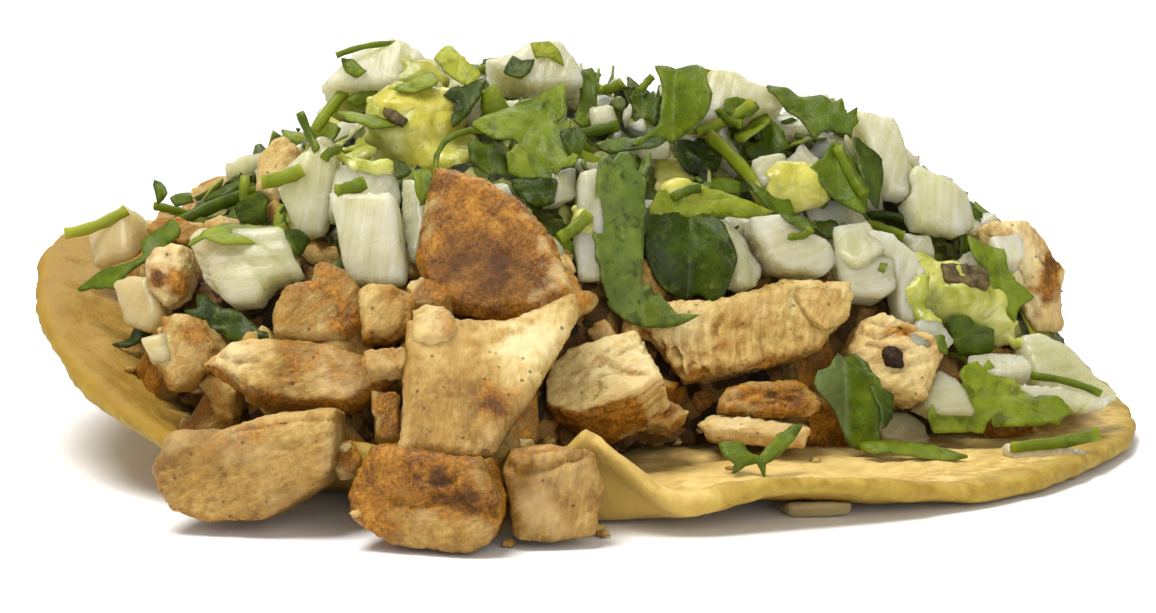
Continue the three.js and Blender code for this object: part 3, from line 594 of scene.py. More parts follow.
def tortilla_material():
    """Soft corn dough: golden at the rim, tan inside, with faint toast marks, and a darker gold on
    the faces that turn down or to the side, which is painted shade. `rim` is 1 at the edge,
    `toast` darkens the creases and marks brown dashes, `inside` the upper face, `moist` where
    the filling has wetted the dough and, at the left end, painted shade of the turned-up wall,
    and one more value paints light on the upper face where shade falls."""
    g = Graph(
        "tortilla", IOR=1.4, Specular_IOR_Level=0.35,
        Subsurface_Weight=0.15, Subsurface_Scale=0.002, Subsurface_Radius=(1.0, 0.7, 0.25),
    )
    place = g.vector("grain")
    cloud = g.noise(place, 0.08, 5, 0.6)
    mottle = g.noise(place, 0.5, 5, 0.62)
    # The faces that turn down or to the side take this darker outer ramp: painted shade.
    outer = g.ramp(cloud, (0.32, 138, 104, 34), (0.5, 164, 130, 48), (0.68, 184, 154, 72))
    inner = g.ramp(mottle, (0.34, 164, 130, 60), (0.5, 200, 168, 92), (0.64, 221, 196, 126))
    colour = g.mix(g.value("inside"), outer, inner)
    golden = g.mix(g.range(mottle, 0.3, 0.7), rgb(138, 110, 28), rgb(178, 151, 62))
    colour = g.mix(g.math("MULTIPLY", g.value("rim"), 0.9), colour, golden)
    # At the left end this darkening is painted shade of the turned-up wall; deeper in it is
    # filling that has wetted the dough.
    colour = g.tint(colour, g.value("moist"), 0.85, 150, 116, 34)
    # Painted light: lightens the upper face where shade falls on it, right of the middle and away
    # from the rim, and on the twist of the front rim.
    colour = g.tint(colour, g.value("dry"), 0.6, 236, 206, 132)
    marks = g.math("MULTIPLY", g.value("toast"), g.range(mottle, 0.35, 0.6))
    colour = g.tint(colour, marks, 0.7, 120, 78, 28)
    colour = g.tint(colour, g.specks(place, 0.7, 0.1, 0.65), 0.55, 128, 84, 34)
    grain = g.math("ADD", g.noise(place, 0.8, 5, 0.6), g.noise(place, 2.6, 3))
    return g.finish(colour, g.range(mottle, 0.3, 0.7, 0.5, 0.68), g.bump(grain, 0.26, 0.5))


def pepper_material():
    """Peppercorns and charred green pepper: `tone` runs from black to olive brown."""
    g = Graph("pepper", IOR=1.45, Roughness=0.6, Specular_IOR_Level=0.25)
    place = g.vector("grain")
    patch = g.noise(place, 1.0, 5)
    black = g.ramp(patch, (0.35, 14, 9, 6), (0.65, 58, 38, 22))
    olive = g.ramp(patch, (0.35, 48, 40, 20), (0.65, 104, 88, 50))
    colour = g.mix(g.value("tone"), black, olive)
    return g.finish(colour, None, g.bump(g.cells(place, 1.6), 0.12, 0.8))


CHICKEN = chicken_material()
ONION = onion_material()
LEAF = leaf_material()
SALSA = salsa_material()
TORTILLA = tortilla_material()
PEPPER = pepper_material()
# The dark colours of these mixtures are painted shade in the gaps between the pieces.
MEAT = mixture_material("chopped_chicken", (32, 20, 7), (92, 64, 28), (152, 116, 62))
GREENS = mixture_material("chopped_greens", (26, 34, 8), (84, 92, 28), (176, 172, 104))

# ------------------------------------------------------------------ the pile so far


class Pile:
    """All that is laid so far, for dropping pieces along the camera's rays."""

    def __init__(self):
        self.shapes = []
        self.tree = None

    def add(self, shapes):
        self.shapes.extend(shapes)
        whole = joined([Shape(s.points, s.faces) for s in self.shapes])
        self.tree = BVHTree.FromPolygons(whole.points.tolist(), whole.faces)

    def met(self, u, v):
        """Where the camera's ray through a pixel meets the pile, and which way that faces."""
        place, normal = self.tree.ray_cast(EYE, ray(u, v))[:2]
        if place is not None and normal.dot(ray(u, v)) > 0:
            normal.negate()
        return place, normal

    def seen(self, u, v):
        """Where the camera's ray through a pixel meets the pile."""
        return self.met(u, v)[0]

    def hidden_by(self, point, reach, eye):
        """Whether a point that an eye sees covers something of the pile close behind it."""
        point = Vector(point)
        away = (point - eye).normalized()
        if self.tree.ray_cast(eye, away, (point - eye).length - 0.3)[0] is not None:
            return False
        return self.tree.ray_cast(point + away * 0.3, away, reach)[0] is not None

    def covers(self, point):
        """Whether the pile covers a point, as the camera sees it."""
        away = Vector(point) - EYE
        return self.tree.ray_cast(EYE, away.normalized(), away.length - 1)[0] is not None


def tilted(at, facing):
    """A frame at a place whose Z is the way that it faces and whose X is level."""
    facing = facing.normalized()
    across = Vector((0, 0, 1)).cross(facing)
    across = across.normalized() if across.length > 0.01 else Vector((1, 0, 0))
    axes = Matrix((across, facing.cross(across), facing)).transposed()
    return Matrix.Translation(at) @ axes.to_4x4()


# How a loose piece lies.
LEANS_BACK = math.radians(32)
TO_CAMERA = Vector((0, -math.cos(LEANS_BACK), math.sin(LEANS_BACK)))
LEVEL = 0.8  # from this mean Z of the normals under it on, a piece lies almost flat
NEAR_MIDDLE = 9  # only places as near as this to their middle turn it, in mm
FLATNESS = 0.7  # they turn it only if their spread is less than this out of their plane
FOLLOWS = 0.55  # how far they turn it from the camera's way to their own


def lying_on(pile, pixels, lift):
    """A frame that lies on the pile under the given pixels, turned partly to the camera."""
    met = [pile.met(u, v) for u, v in pixels]
    met = [(place, normal) for place, normal in met if place is not None]
    low = max(v for _, v in pixels)
    while not met:
        low += 6
        place, normal = pile.met(pixels[0][0], low)
        met = [(place, normal)] if place is not None else []
    if np.mean([normal.z for _, normal in met]) > LEVEL:
        facing = Vector((0, 0, 1)).lerp(TO_CAMERA, 0.6).normalized()
        front = min(met, key=lambda one: one[0].y)[0]
        return tilted(front + facing * 0.3 * lift, facing)
    places = np.array([tuple(place) for place, _ in met])
    middle = np.median(places, axis=0)
    near = places[np.linalg.norm(places - middle, axis=1) < NEAR_MIDDLE]
    facing = TO_CAMERA
    if len(near) > 3:
        _, spread, axes = np.linalg.svd(near - near.mean(0))
        fitted = Vector(axes[2])
        if fitted.dot(facing) < 0:
            fitted.negate()
        if spread[2] < spread[1] * FLATNESS:
            facing = facing.lerp(fitted, FOLLOWS).normalized()
    height = np.quantile((places - middle) @ np.array(facing), 0.7) + lift
    return tilted(Vector(middle) + facing * height, facing)


def settled(pile, shape):
    """The shape moved along the camera's ray until it sinks a little into what is behind it."""
    sink = 0.2
    away = (Vector(shape.points.mean(0)) - EYE).normalized()
    before = 3.0
    gaps = []
    for point in shape.points[:: max(len(shape.points) // 60, 1)]:
        gap = pile.tree.ray_cast(Vector(point) - away * before, away, 40)[3]
        if gap is not None:
            gaps.append(gap - before)
    if gaps and min(gaps) > -sink:
        shape.points += np.array(away) * (min(gaps) + sink)
    shape.keep_above(LOOSE_SOLE)
    return shape


def outline_on(place, pixels):
    """The outline on a frame's XY plane that the camera sees at the given pixels."""
    back = place.inverted()
    start = back @ EYE
    flat = []
    for u, v in pixels:
        way = back.to_3x3() @ ray(u, v)
        flat.append(tuple((start - way * (start.z / way.z)).xy))
    return flat


def centred(place, outline):
    """The same frame and outline, moved so that the outline is about the origin."""
    middle = np.mean(outline, axis=0)
    moved_outline = [(x - middle[0], y - middle[1]) for x, y in outline]
    return place @ Matrix.Translation((middle[0], middle[1], 0)), moved_outline


# ------------------------------------------------------------------ the tortilla

DOUGH_MIDDLE = (-1.6, 1.5)
FRONT_Y = -20
TURNED_UP = 4.6  # how far the rim turns up beside the spilled chicken, in mm


def rim_reach(points):
    """How far out the rim is at each point's angle."""
    x, y = points[:, 0] - DOUGH_MIDDLE[0], points[:, 1] - DOUGH_MIDDLE[1]
    count = 180
    share = (np.arctan2(y, x) / (2 * math.pi) + 0.5) * count
    slot = np.floor(share).astype(int) % count
    rim = np.zeros(count)
    np.maximum.at(rim, slot, np.hypot(x, y))
    return np.interp(share, np.arange(count) + 0.5, rim, period=count)


def dough():
    """The tortilla: creased and pitted, its rim turned up where the chicken has spilled."""
    shape = refined("tortilla", *DOUGH_MESH)
    p = shape.points
    at_front = p[:, 1] < FRONT_Y
    reach = np.hypot(p[:, 0] - DOUGH_MIDDLE[0], p[:, 1] - DOUGH_MIDDLE[1])
    to_rim = rim_reach(p) - reach
    normals = shape.normals()
    inside = smoothstep(-0.2, 0.5, normals[:, 2])
    left = smoothstep(-28, -46, p[:, 0])
    angle = np.arctan2(p[:, 1], p[:, 0])
    along = np.stack((angle * 16, to_rim * 0.1, p[:, 2] * 0.05), 1)
    crease = 1 - np.abs(noise(along, 3))
    folds = smoothstep(0.84, 1.0, crease) * (0.35 + 0.45 * left) * smoothstep(2.0, 5.0, to_rim)
    bump = 0.13 * layered(p * 0.34, 3, 1) + 0.55 * noise(p * 0.09, 5)
    pits = smoothstep(0.35, 0.8, noise(p * 0.9, 12))
    lift = bump - 0.45 * folds * inside - 0.1 * pits
    on_floor = smoothstep(0.0, 1.2, p[:, 2])
    shape.points = p + normals * (lift * on_floor)[:, None]
    front = at_front * smoothstep(8, 1.5, to_rim) * smoothstep(0.2, 2.2, p[:, 2])
    turned_up = smoothstep(9.5, 0, p[:, 0]) * smoothstep(-4, 0.5, p[:, 0])
    shape.points[:, 2] += TURNED_UP * turned_up * front
    shape.keep_above(0)
    twist = smoothstep(15, 9, p[:, 0]) * smoothstep(-4, 2, p[:, 0]) * at_front
    dashes = smoothstep(0.3, 0.6, noise(p * (0.35, 0.2, 0.35), 8))
    deep = 0.5 * smoothstep(5, 11, to_rim) + 0.5 * smoothstep(10, 16, to_rim)
    # Darker at the left end, most near the rim: painted shade of the turned-up wall, and filling
    # that has wetted it.
    wet_and_shaded_end = smoothstep(-26, -42, p[:, 0]) * (0.6 + 0.4 * smoothstep(14, 6, to_rim))
    shape.values = {
        "grain": p,
        "rim": smoothstep(5.0, 1.5, to_rim + 1.2 * noise(p * 0.2, 14)) * (1 - 0.7 * twist),
        "inside": inside,
        "toast": np.clip((0.4 * folds + 0.4 * dashes) * inside, 0, 1),
        "moist": np.maximum(0.1 * smoothstep(6, 16, to_rim), wet_and_shaded_end) * inside,
        # painted light on the upper face where shade falls: right of the middle, away from the
        # rim, and on the twist of the front rim
        "dry": np.maximum(smoothstep(-4, 22, p[:, 0]) * deep * inside, 0.3 * twist),
    }
    return shape


# ------------------------------------------------------------------ chicken

# For each piece: the direction of its fibres as seen by the camera, in degrees, how browned it
# is all over, which way its browned side looks and how strongly, how deep its fibres part, and
# how pale it is. Browning on a side that looks down is partly painted shade under the piece, and
# the paleness is partly painted light and shade, set per piece against the light each one gets.
MEAT_LOOKS = {
    "chicken_seared": (60, 0.95, (0, -1, 0.5), 0.2, 0.06, 0.1),
    "chicken_slab": (82, 0.0, (-1, 0, -0.3), 0.3, 0.08, -0.11),
    "chicken_block": (20, 0.0, (-0.5, -0.4, -0.75), 1.0, 0.25, 0.08),
    "chicken_fibrous": (82, 0.04, (0, -0.2, -1), 0.4, 0.22, 0.02),
    "chicken_nub": (10, 0.55, (0, -1, 0), 0.2, 0.3, 0),
    "chicken_sliver": (-10, 0.15, (0, 0, -1), 0.4, 0.2, 0.08),
    "chicken_left_front": (20, 0.16, (-0.6, 0, -1), 0.35, 0.14, -0.08),
    "chicken_roll": (5, 0.24, (0, -0.3, -1), 0.6, 0.12, -0.07),
    "chicken_notched": (40, 0.3, (0, 0, 1), 0.3, 0.08, 0.0),
    "chicken_speckled": (70, 0.2, (-1, 0, 0), 0.3, 0.15, 0.1),
    "chicken_rough": (60, 0.3, (-1, 0, 0), 0.3, 0.15, 0.0),
    "chicken_spilled": (10, 0.92, (-1, -0.2, 0.4), 0.3, 0.16, -0.1),
    "chicken_spilled_cube": (75, 0.05, (1, 0, 1), 0.2, 0.06, -0.12),
    "chicken_wrinkled": (60, 0.35, (0, 0, -1), 0.4, 0.22, 0),
    "chicken_peppered": (20, 0.0, (0, 0, -1), 0.3, 0.22, 0.08),
    "chicken_far_right": (80, 0.04, (1, 0, 0), 0.25, 0.18, 0.1),
    "chicken_behind_left": (50, 0.2, (0, 0, -1), 0.3, 0.16, 0.06),
    "chicken_back_slab": (15, 0.25, (0, 1, 0.4), 0.4, 0.3, 0.02),
    "chicken_back_block": (70, 0.15, (1, 1, 0), 0.5, 0.3, 0.04),
}

# Browned spots: the pixel, the radius in mm and how dark. A minus makes a spot paler.
STAINS = [
    (493, 407, 1.4, 1.4), (489, 392, 2.2, 0.5), (556, 424, 3.0, 0.7), (576, 436, 2.6, 0.7),
    (158, 277, 0.9, 1.3), (180, 284, 1.4, 0.7), (454, 268, 1.8, 0.5), (500, 262, 1.6, 0.5),
    (442, 300, 1.2, 0.7), (797, 403, 1.0, 1.0), (723, 345, 0.8, 0.7), (437, 478, 0.9, 1.2),
    (468, 497, 1.2, 0.9), (492, 506, 1.4, 0.5), (430, 188, 0.9, 0.9), (575, 300, 0.9, 0.8),
    (905, 330, 1.6, 0.5), (1050, 278, 1.4, 1.0), (350, 325, 1.3, 0.8), (296, 372, 1.5, 0.4),
    (240, 440, 3.0, 0.35), (400, 505, 1.6, -0.5), (476, 478, 1.8, -0.6), (420, 535, 3.0, -0.7),
    (460, 540, 3.0, -0.8), (575, 312, 2.2, -1.0), (560, 272, 1.5, -0.9), (436, 200, 1.6, -0.4),
    (546, 246, 1.2, -0.7), (522, 216, 1.0, -0.5), (430, 236, 1.3, -0.5), (492, 268, 3.0, 0.3),
    (506, 286, 2.0, 0.3), (470, 216, 2.0, -0.35), (452, 246, 1.8, 0.3), (530, 300, 1.6, -0.45),
    (1052, 262, 1.2, 1.3), (1047, 296, 1.2, 0.9), (1042, 338, 1.5, 1.0), (1000, 232, 1.5, 0.4),
    (286, 344, 2.0, 0.4), (340, 352, 2.5, 0.3), (372, 372, 1.6, 0.5), (200, 340, 2.0, 0.4),
    (320, 292, 2.2, 0.25), (346, 310, 1.6, 0.4), (868, 320, 1.2, 0.5), (932, 344, 1.2, 0.4),
]

# Cracks between the fibres: pixels along each, its width and its depth in mm. They are darkened
# too, as painted shade.
CRACKS = [
    ([(497, 462), (520, 471), (545, 469), (582, 455)], 0.45, 0.9),
    ([(509, 447), (535, 452), (560, 446)], 0.35, 0.5),
    ([(591, 398), (599, 388), (596, 378), (612, 370)], 0.3, 0.6),
    ([(600, 362), (622, 372), (646, 374)], 0.35, 0.6),
    ([(570, 372), (590, 366), (606, 350)], 0.3, 0.4),
    ([(478, 436), (484, 450), (487, 461)], 0.5, 0.7),
    ([(470, 345), (500, 338), (540, 322)], 0.5, 0.3),
    ([(660, 346), (664, 364), (668, 384)], 0.4, 1.2),
    ([(672, 342), (678, 362), (680, 386)], 0.4, 1.2),
    ([(684, 345), (692, 362), (694, 384)], 0.4, 1.1),
    ([(700, 336), (702, 356), (706, 380)], 0.4, 0.9),
    ([(716, 326), (716, 352), (720, 376)], 0.35, 0.7),
    ([(738, 318), (740, 346), (742, 366)], 0.3, 0.5),
    ([(762, 312), (762, 338), (766, 358)], 0.3, 0.5),
    ([(790, 300), (796, 326), (800, 344)], 0.3, 0.6),
    ([(804, 296), (812, 322), (816, 340)], 0.25, 0.5),
    ([(640, 322), (646, 336), (646, 352)], 0.35, 0.8),
    ([(228, 430), (262, 426), (300, 418), (346, 420)], 0.4, 0.6),
    ([(216, 352), (236, 362), (256, 360)], 0.35, 0.6),
    ([(392, 502), (420, 508), (440, 500), (462, 512)], 0.5, 0.8),
    ([(455, 500), (470, 512), (500, 510)], 0.5, 0.8),
    ([(416, 478), (436, 486), (452, 480)], 0.4, 0.6),
    ([(860, 330), (880, 338), (898, 332)], 0.4, 0.8),
    ([(876, 322), (900, 328), (930, 344)], 0.4, 0.8),
    ([(868, 344), (886, 346), (904, 350)], 0.3, 0.6),
    ([(728, 398), (760, 392), (790, 400)], 0.4, 0.6),
    ([(1020, 262), (1030, 290), (1036, 318)], 0.5, 0.9),
]

# Notches in the end of the large left onion slice and seams on other onion, in the same form.
NOTCHES = [
    ([(184, 249), (202, 255)], 0.3, 0.7), ([(188, 259), (206, 265)], 0.3, 0.7),
    ([(192, 269), (209, 274)], 0.3, 0.7), ([(197, 278), (212, 283)], 0.3, 0.7),
    ([(202, 287), (216, 291)], 0.3, 0.7), ([(236, 250), (262, 278), (270, 300)], 0.25, 0.25),
    ([(258, 244), (284, 268), (294, 286)], 0.25, 0.25), ([(352, 222), (362, 290)], 0.2, 0.12),
    ([(374, 216), (384, 288)], 0.2, 0.15), ([(582, 200), (586, 284)], 0.2, 0.15),
]


def grain_place(points, degrees, seed):
    """Places in a frame whose X runs along the fibres."""
    a = math.radians(degrees)
    along = np.array((math.cos(a), 0.25, math.sin(a)))
    along /= np.linalg.norm(along)
    side = np.cross(along, (0, 1, 0))
    side /= np.linalg.norm(side)
    turn = np.array((along, side, np.cross(along, side)))
    return points @ turn.T + 17.3 * seed


def meaty(shape, look, seed):
    """Gives a shape the torn fibres, cracks and browned faces of chicken."""
    degrees, browned, towards, strength, part, pale = look
    p = shape.points
    normals = shape.normals()
    place = grain_place(p, degrees, seed)
    fibre = noise(place * (0.12, 0.8, 0.8), seed) + 0.5 * noise(place * (0.3, 2.0, 2.0), seed + 9)
    crack = smoothstep(0.84, 1.0, 1 - np.abs(noise(place * (0.1, 0.42, 0.42), seed + 4)))
    crag = 1 - np.abs(layered(p * 0.6, 3, seed + 2))
    way = np.array(towards, float) / np.linalg.norm(towards)
    edge = shape.crown(3)
    # Browning on the side that the look points to; where that side looks down it is partly painted
    # shade under the piece.
    sear = browned + strength * smoothstep(0.1, 0.7, normals @ way)
    # Painted shade: the cracks where the fibres part are darkened as if browned.
    sear = sear + 0.25 * crack * (part > 0.2)
    lift = 0.2 * noise(p * 0.16, seed + 6) + part * (0.6 * fibre - 1.1 * crack)
    lift += (0.07 + 0.4 * part) * layered(p * 1.25, 2, seed + 8)
    lift += 0.2 * (crag - 0.6) * np.clip(sear, 0, 1)
    rubbed = np.clip(edge * 6, -0.1, 0.3) * smoothstep(-0.3, 0.4, noise(p * 0.2, seed + 7))
    sear = sear + rubbed * (1 if browned < 0.4 else -1.6)
    shape.points = p + normals * (lift + 0.1)[:, None]
    shape.keep_above(PIECE_SOLE)
    shape.values = {"grain": place, "sear": sear, "pale": np.full(len(p), pale, float)}
    return shape


# Paler patches of the cut faces, in the form of STAINS. A minus makes a patch darker. Those on the
# upper right of chicken_slab are a painted highlight.
PATCHES = [
    (222, 352, 3.4, 0.2), (250, 346, 3.0, 0.14), (320, 380, 3.0, 0.06), (300, 440, 4.0, 0.05),
    (210, 480, 3.0, 0.06), (176, 430, 2.6, -0.12), (240, 400, 1.6, -0.1), (905, 345, 3.0, 0.08),
    (160, 262, 2.4, 0.1), (300, 300, 2.0, -0.06), (330, 320, 2.0, 0.08), (548, 325, 4.0, 0.2),
    (520, 352, 3.4, 0.15), (503, 374, 2.4, 0.1), (455, 335, 3.0, 0.08), (430, 340, 2.6, 0.05),
    (440, 420, 4.0, 0.03), (560, 460, 1.6, 0.08),
    (640, 380, 2.0, 0.06), (690, 330, 3.0, 0.06), (800, 300, 3.0, 0.08), (760, 340, 2.6, -0.05),
    (1020, 262, 2.6, 0.1), (1034, 310, 2.4, 0.08), (470, 530, 2.6, 0.06), (420, 538, 2.4, 0.04),
    (740, 430, 2.0, 0.06), (200, 330, 2.0, -0.06), (350, 395, 2.4, -0.08), (500, 380, 2.4, -0.05),
]


def stain(shapes, pile, spots, key):
    """Adds round ragged spots to a value of the pieces that the camera's rays meet."""
    for u, v, radius, dark in spots:
        hit = pile.seen(u, v)
        if hit is None:
            continue
        for shape in shapes:
            away = np.linalg.norm(shape.points - np.array(hit), axis=1)
            rag = 1 + 0.35 * noise(shape.points * 0.9, 31)
            shape.values[key] += dark * np.exp(-((away / (radius * rag)) ** 2))


def between(start, end, steps):
    """Pixels in even steps from one to another."""
    (u1, v1), (u2, v2) = start, end
    return [(u1 + (u2 - u1) * t / steps, v1 + (v2 - v1) * t / steps) for t in range(steps + 1)]


def crack(shapes, pile, rows, key):
    """Presses cracks into the pieces that the camera's rays meet, and marks them in a value that
    darkens them: painted shade in the cracks.
    """
    reach = 16
    for pixels, width, depth in rows:
        along = []
        for start, end in zip(pixels, pixels[1:]):
            along += between(start, end, 8)
        hits = [pile.seen(u, v) for u, v in along]
        hits = np.array([tuple(hit) for hit in hits if hit is not None])
        for shape in shapes:
            close = np.linalg.norm(shape.points - hits.mean(0), axis=1) < reach
            if not close.any():
                continue
            near = shape.points[close]
            away = np.linalg.norm(near[:, None] - hits[None], axis=2).min(1)
            rag = width * (1 + 0.5 * noise(near * 0.8, 33))
            dip = np.exp(-((away / rag) ** 2))
            if dip.max() < 0.3:
                continue
            shape.points[close] -= shape.normals()[close] * (depth * dip)[:, None]
            shape.keep_above(PIECE_SOLE)
            shape.values[key][close] += 0.35 * dip


# Scraps of chicken that show between the pieces: outline by pixel, thickness in mm, browning.
MEAT_SCRAPS = [
    ([(412, 310), (424, 302), (446, 306), (456, 322), (448, 332), (414, 333)], 4, 0.1),
    ([(407, 284), (420, 276), (446, 281), (452, 291), (438, 301), (411, 301)], 4, 0.6),
    ([(198, 384), (206, 376), (223, 380), (235, 393), (233, 421), (217, 425), (211, 404)], 3, 0.5),
    ([(370, 388), (398, 392), (402, 440), (376, 436)], 4, 0.7),
    ([(364, 350), (406, 346), (404, 366), (370, 368)], 4, 0.3),
    ([(690, 392), (712, 388), (716, 404), (700, 412)], 3, 0.9),
    ([(640, 405), (672, 398), (690, 412), (668, 424), (640, 420)], 4, 0.8),
    ([(586, 330), (604, 316), (618, 334), (606, 346)], 3, 0.3),
    ([(795, 288), (820, 286), (856, 292), (850, 316), (826, 330), (806, 312)], 4, 0.15),
    ([(143, 226), (168, 216), (205, 222), (214, 238), (180, 242)], 4, 0.4),
    ([(318, 446), (352, 438), (362, 460), (344, 474)], 3, 0.6),
]

# ------------------------------------------------------------------ onion

# How the layers of an onion piece run as seen by the camera, in degrees, and how green it is.
ONION_GRAIN = {
    "onion_big_left": (8, 0.3), "onion_cube": (84, 0.0), "onion_upper_left": (80, 0.35),
    "onion_sliver": (86, 0.0), "onion_right_middle": (10, 0.1), "onion_white_right": (20, 0.0),
    "onion_curved": (70, 0.1), "onion_right_large": (5, 0.4), "onion_right_low": (5, 0.3),
    "onion_left_top": (70, 0.25), "onion_left_low": (60, 0.2), "onion_shoulder": (85, 0.3),
    "onion_under_rim": (5, 0.5),
}
OTHER_ONION = (75, 0.2)


def soaked(points):
    """How beige onion is: some at the left end, and most low down, where it is painted warm shade
    under the rim.
    """
    at_left = 0.6 * smoothstep(-34, -46, points[:, 0])
    return np.maximum(at_left, 0.9 * smoothstep(5, 1.5, points[:, 2]))


def oniony(shape, degrees, green, seed):
    """Gives a shape the soft layers and waves of a piece of onion."""
    p = shape.points
    normals = shape.normals()
    place = grain_place(p, degrees, seed)
    stripes = noise(place * (0.06, 0.9, 0.25), seed)
    lift = 0.14 * stripes + 0.2 * noise(p * 0.2, seed + 3)
    shape.points = p + normals * (lift + 0.08)[:, None]
    shape.keep_above(PIECE_SOLE)
    tone = green + 0.3 * noise(p * 0.15, seed + 5)
    edge = np.clip(np.abs(shape.crown(6)) * 10 - 0.1, 0, 1)
    shape.values = {"grain": place, "tone": np.clip(tone, 0, 1), "edge": edge}
    shape.values["soaked"] = soaked(p)
    return shape


# Loose onion by pixel: outline, thickness in mm, greenness.
ONION_SCRAPS = [
    ([(140, 336), (167, 334), (168, 357), (150, 356)], 2.5, 0.4),
    ([(334, 168), (352, 160), (396, 163), (402, 196), (398, 204), (334, 206)], 3.5, 0.4),
    ([(401, 179), (410, 177), (419, 196), (422, 222), (412, 264), (404, 240)], 2, 0.4),
    ([(553, 170), (576, 168), (576, 198), (558, 202)], 3, 0.5),
    ([(590, 108), (614, 105), (616, 122), (592, 126)], 2.5, 0.2),
    ([(615, 137), (630, 102), (634, 106), (621, 139)], 1.5, 0.1),
    ([(629, 122), (645, 117), (647, 130), (632, 134)], 2, 0.1),
    ([(636, 146), (670, 141), (671, 160), (640, 160)], 3, 0.6),
    ([(750, 158), (785, 152), (790, 176), (762, 182)], 3, 0.4),
    ([(709, 221), (722, 218), (742, 232), (764, 270), (758, 286), (740, 282),
      (722, 240)], 2.5, 0.4),
    ([(910, 338), (929, 306), (958, 340), (950, 349), (927, 353)], 3, 0.2),
    ([(966, 356), (990, 351), (1026, 354), (1033, 366), (1000, 372), (970, 370)], 2.5, 0.1),
    ([(874, 414), (904, 410), (926, 424), (929, 444), (884, 440)], 2.5, 0.5),
    ([(1001, 444), (1014, 459), (1055, 472), (1084, 470), (1087, 449), (1040, 440)], 2.5, 0.2),
    ([(1017, 383), (1060, 386), (1116, 400), (1090, 404), (1042, 402)], 2, 0.3),
    ([(990, 236), (1022, 232), (1024, 256), (1004, 262)], 3, 0.1),
    ([(902, 232), (930, 236), (936, 256), (914, 256)], 2.5, 0.2),
    ([(834, 226), (868, 220), (884, 244), (856, 262), (834, 252)], 3, 0.3),
]

# ------------------------------------------------------------------ leaves


def smooth_loop(outline, step, toothing):
    """A closed outline resampled every step, its corners rounder if it has few teeth."""
    count = len(outline)
    points = [Vector(p) for p in outline]
    pull = 0.18 if toothing > 0.2 else 0.26
    fine = []
    for k in range(count):
        a, b = points[k], points[(k + 1) % count]
        before, after = points[k - 1], points[(k + 2) % count]
        parts = max(int((b - a).length / step), 1)
        start, end = (b - before) * pull, (after - a) * pull
        start *= min(1, (b - a).length / max(start.length, 1e-6))
        end *= min(1, (b - a).length / max(end.length, 1e-6))
        for n in range(parts):
            t = n / parts
            h1 = 2 * t**3 - 3 * t**2 + 1
            h2 = t**3 - 2 * t**2 + t
            fine.append(a * h1 + start * h2 + b * (1 - h1) + end * (t**3 - t**2))
    return np.array([tuple(p) for p in fine])


def toothed(outline, step, toothing, seed):
    """A closed outline resampled every step, its edge cut into teeth of uneven length."""
    loop = smooth_loop(outline, step, toothing)
    ahead = np.roll(loop, -1, axis=0) - np.roll(loop, 1, axis=0)
    out = np.stack((ahead[:, 1], -ahead[:, 0]), 1)
    out /= np.maximum(np.linalg.norm(out, axis=1), 1e-6)[:, None]
    area = np.sum(loop[:, 0] * np.roll(loop[:, 1], -1) - np.roll(loop[:, 0], -1) * loop[:, 1])
    out *= 1 if area > 0 else -1
    along = np.arange(len(loop)) * step
    flat = np.stack((along * 0, along * 0, along), 1)
    beat = along / 1.9 + 0.5 * noise(flat * 0.23, seed)
    tooth = 1 - np.abs((beat % 1) * 2 - 1)
    where = smoothstep(-0.15, 0.2, noise(flat * 0.11, seed + 1))
    return loop + out * (toothing * where * (tooth - 0.3))[:, None]


def sheet(outline, step, toothing, seed):
    """A flat sheet cut to an outline: points in its plane and triangles."""
    edge = toothed(outline, step, toothing, seed)
    low, high = edge.min(0), edge.max(0)
    xs = np.arange(low[0], high[0], step)
    ys = np.arange(low[1], high[1], step * 0.87)
    grid = [(x + (0.5 * step if k % 2 else 0), y) for k, y in enumerate(ys) for x in xs]
    grid = [g for g in grid if np.min(np.hypot(*(edge - g).T)) > 0.6 * step]
    coords = [Vector(p) for p in edge] + [Vector(p) for p in grid]
    ring = [(k, (k + 1) % len(edge)) for k in range(len(edge))]
    verts, _, faces, _, _, _ = geometry.delaunay_2d_cdt(coords, ring, [], 1, 1e-5)
    return np.array([tuple(v) for v in verts]), [list(f) for f in faces]


def thickened(top, faces, thick, **values):
    """Closes a sheet of surface points into a thin solid."""
    normals = Shape(top, faces).normals()
    count = len(top)
    edges = [(a, b) for face in faces for a, b in zip(face, face[1:] + face[:1])]
    known = set(edges)
    rim = [(a, b) for a, b in edges if (b, a) not in known]
    points = np.concatenate((top + normals * thick / 2, top - normals * thick / 2))
    under = [[v + count for v in reversed(face)] for face in faces]
    sides = [[b, a, a + count, b + count] for a, b in rim]
    both = {k: np.concatenate((v, v)) for k, v in values.items()}
    both["under"] = np.concatenate((np.zeros(count), np.ones(count)))
    return Shape(points, faces + under + sides, **both)


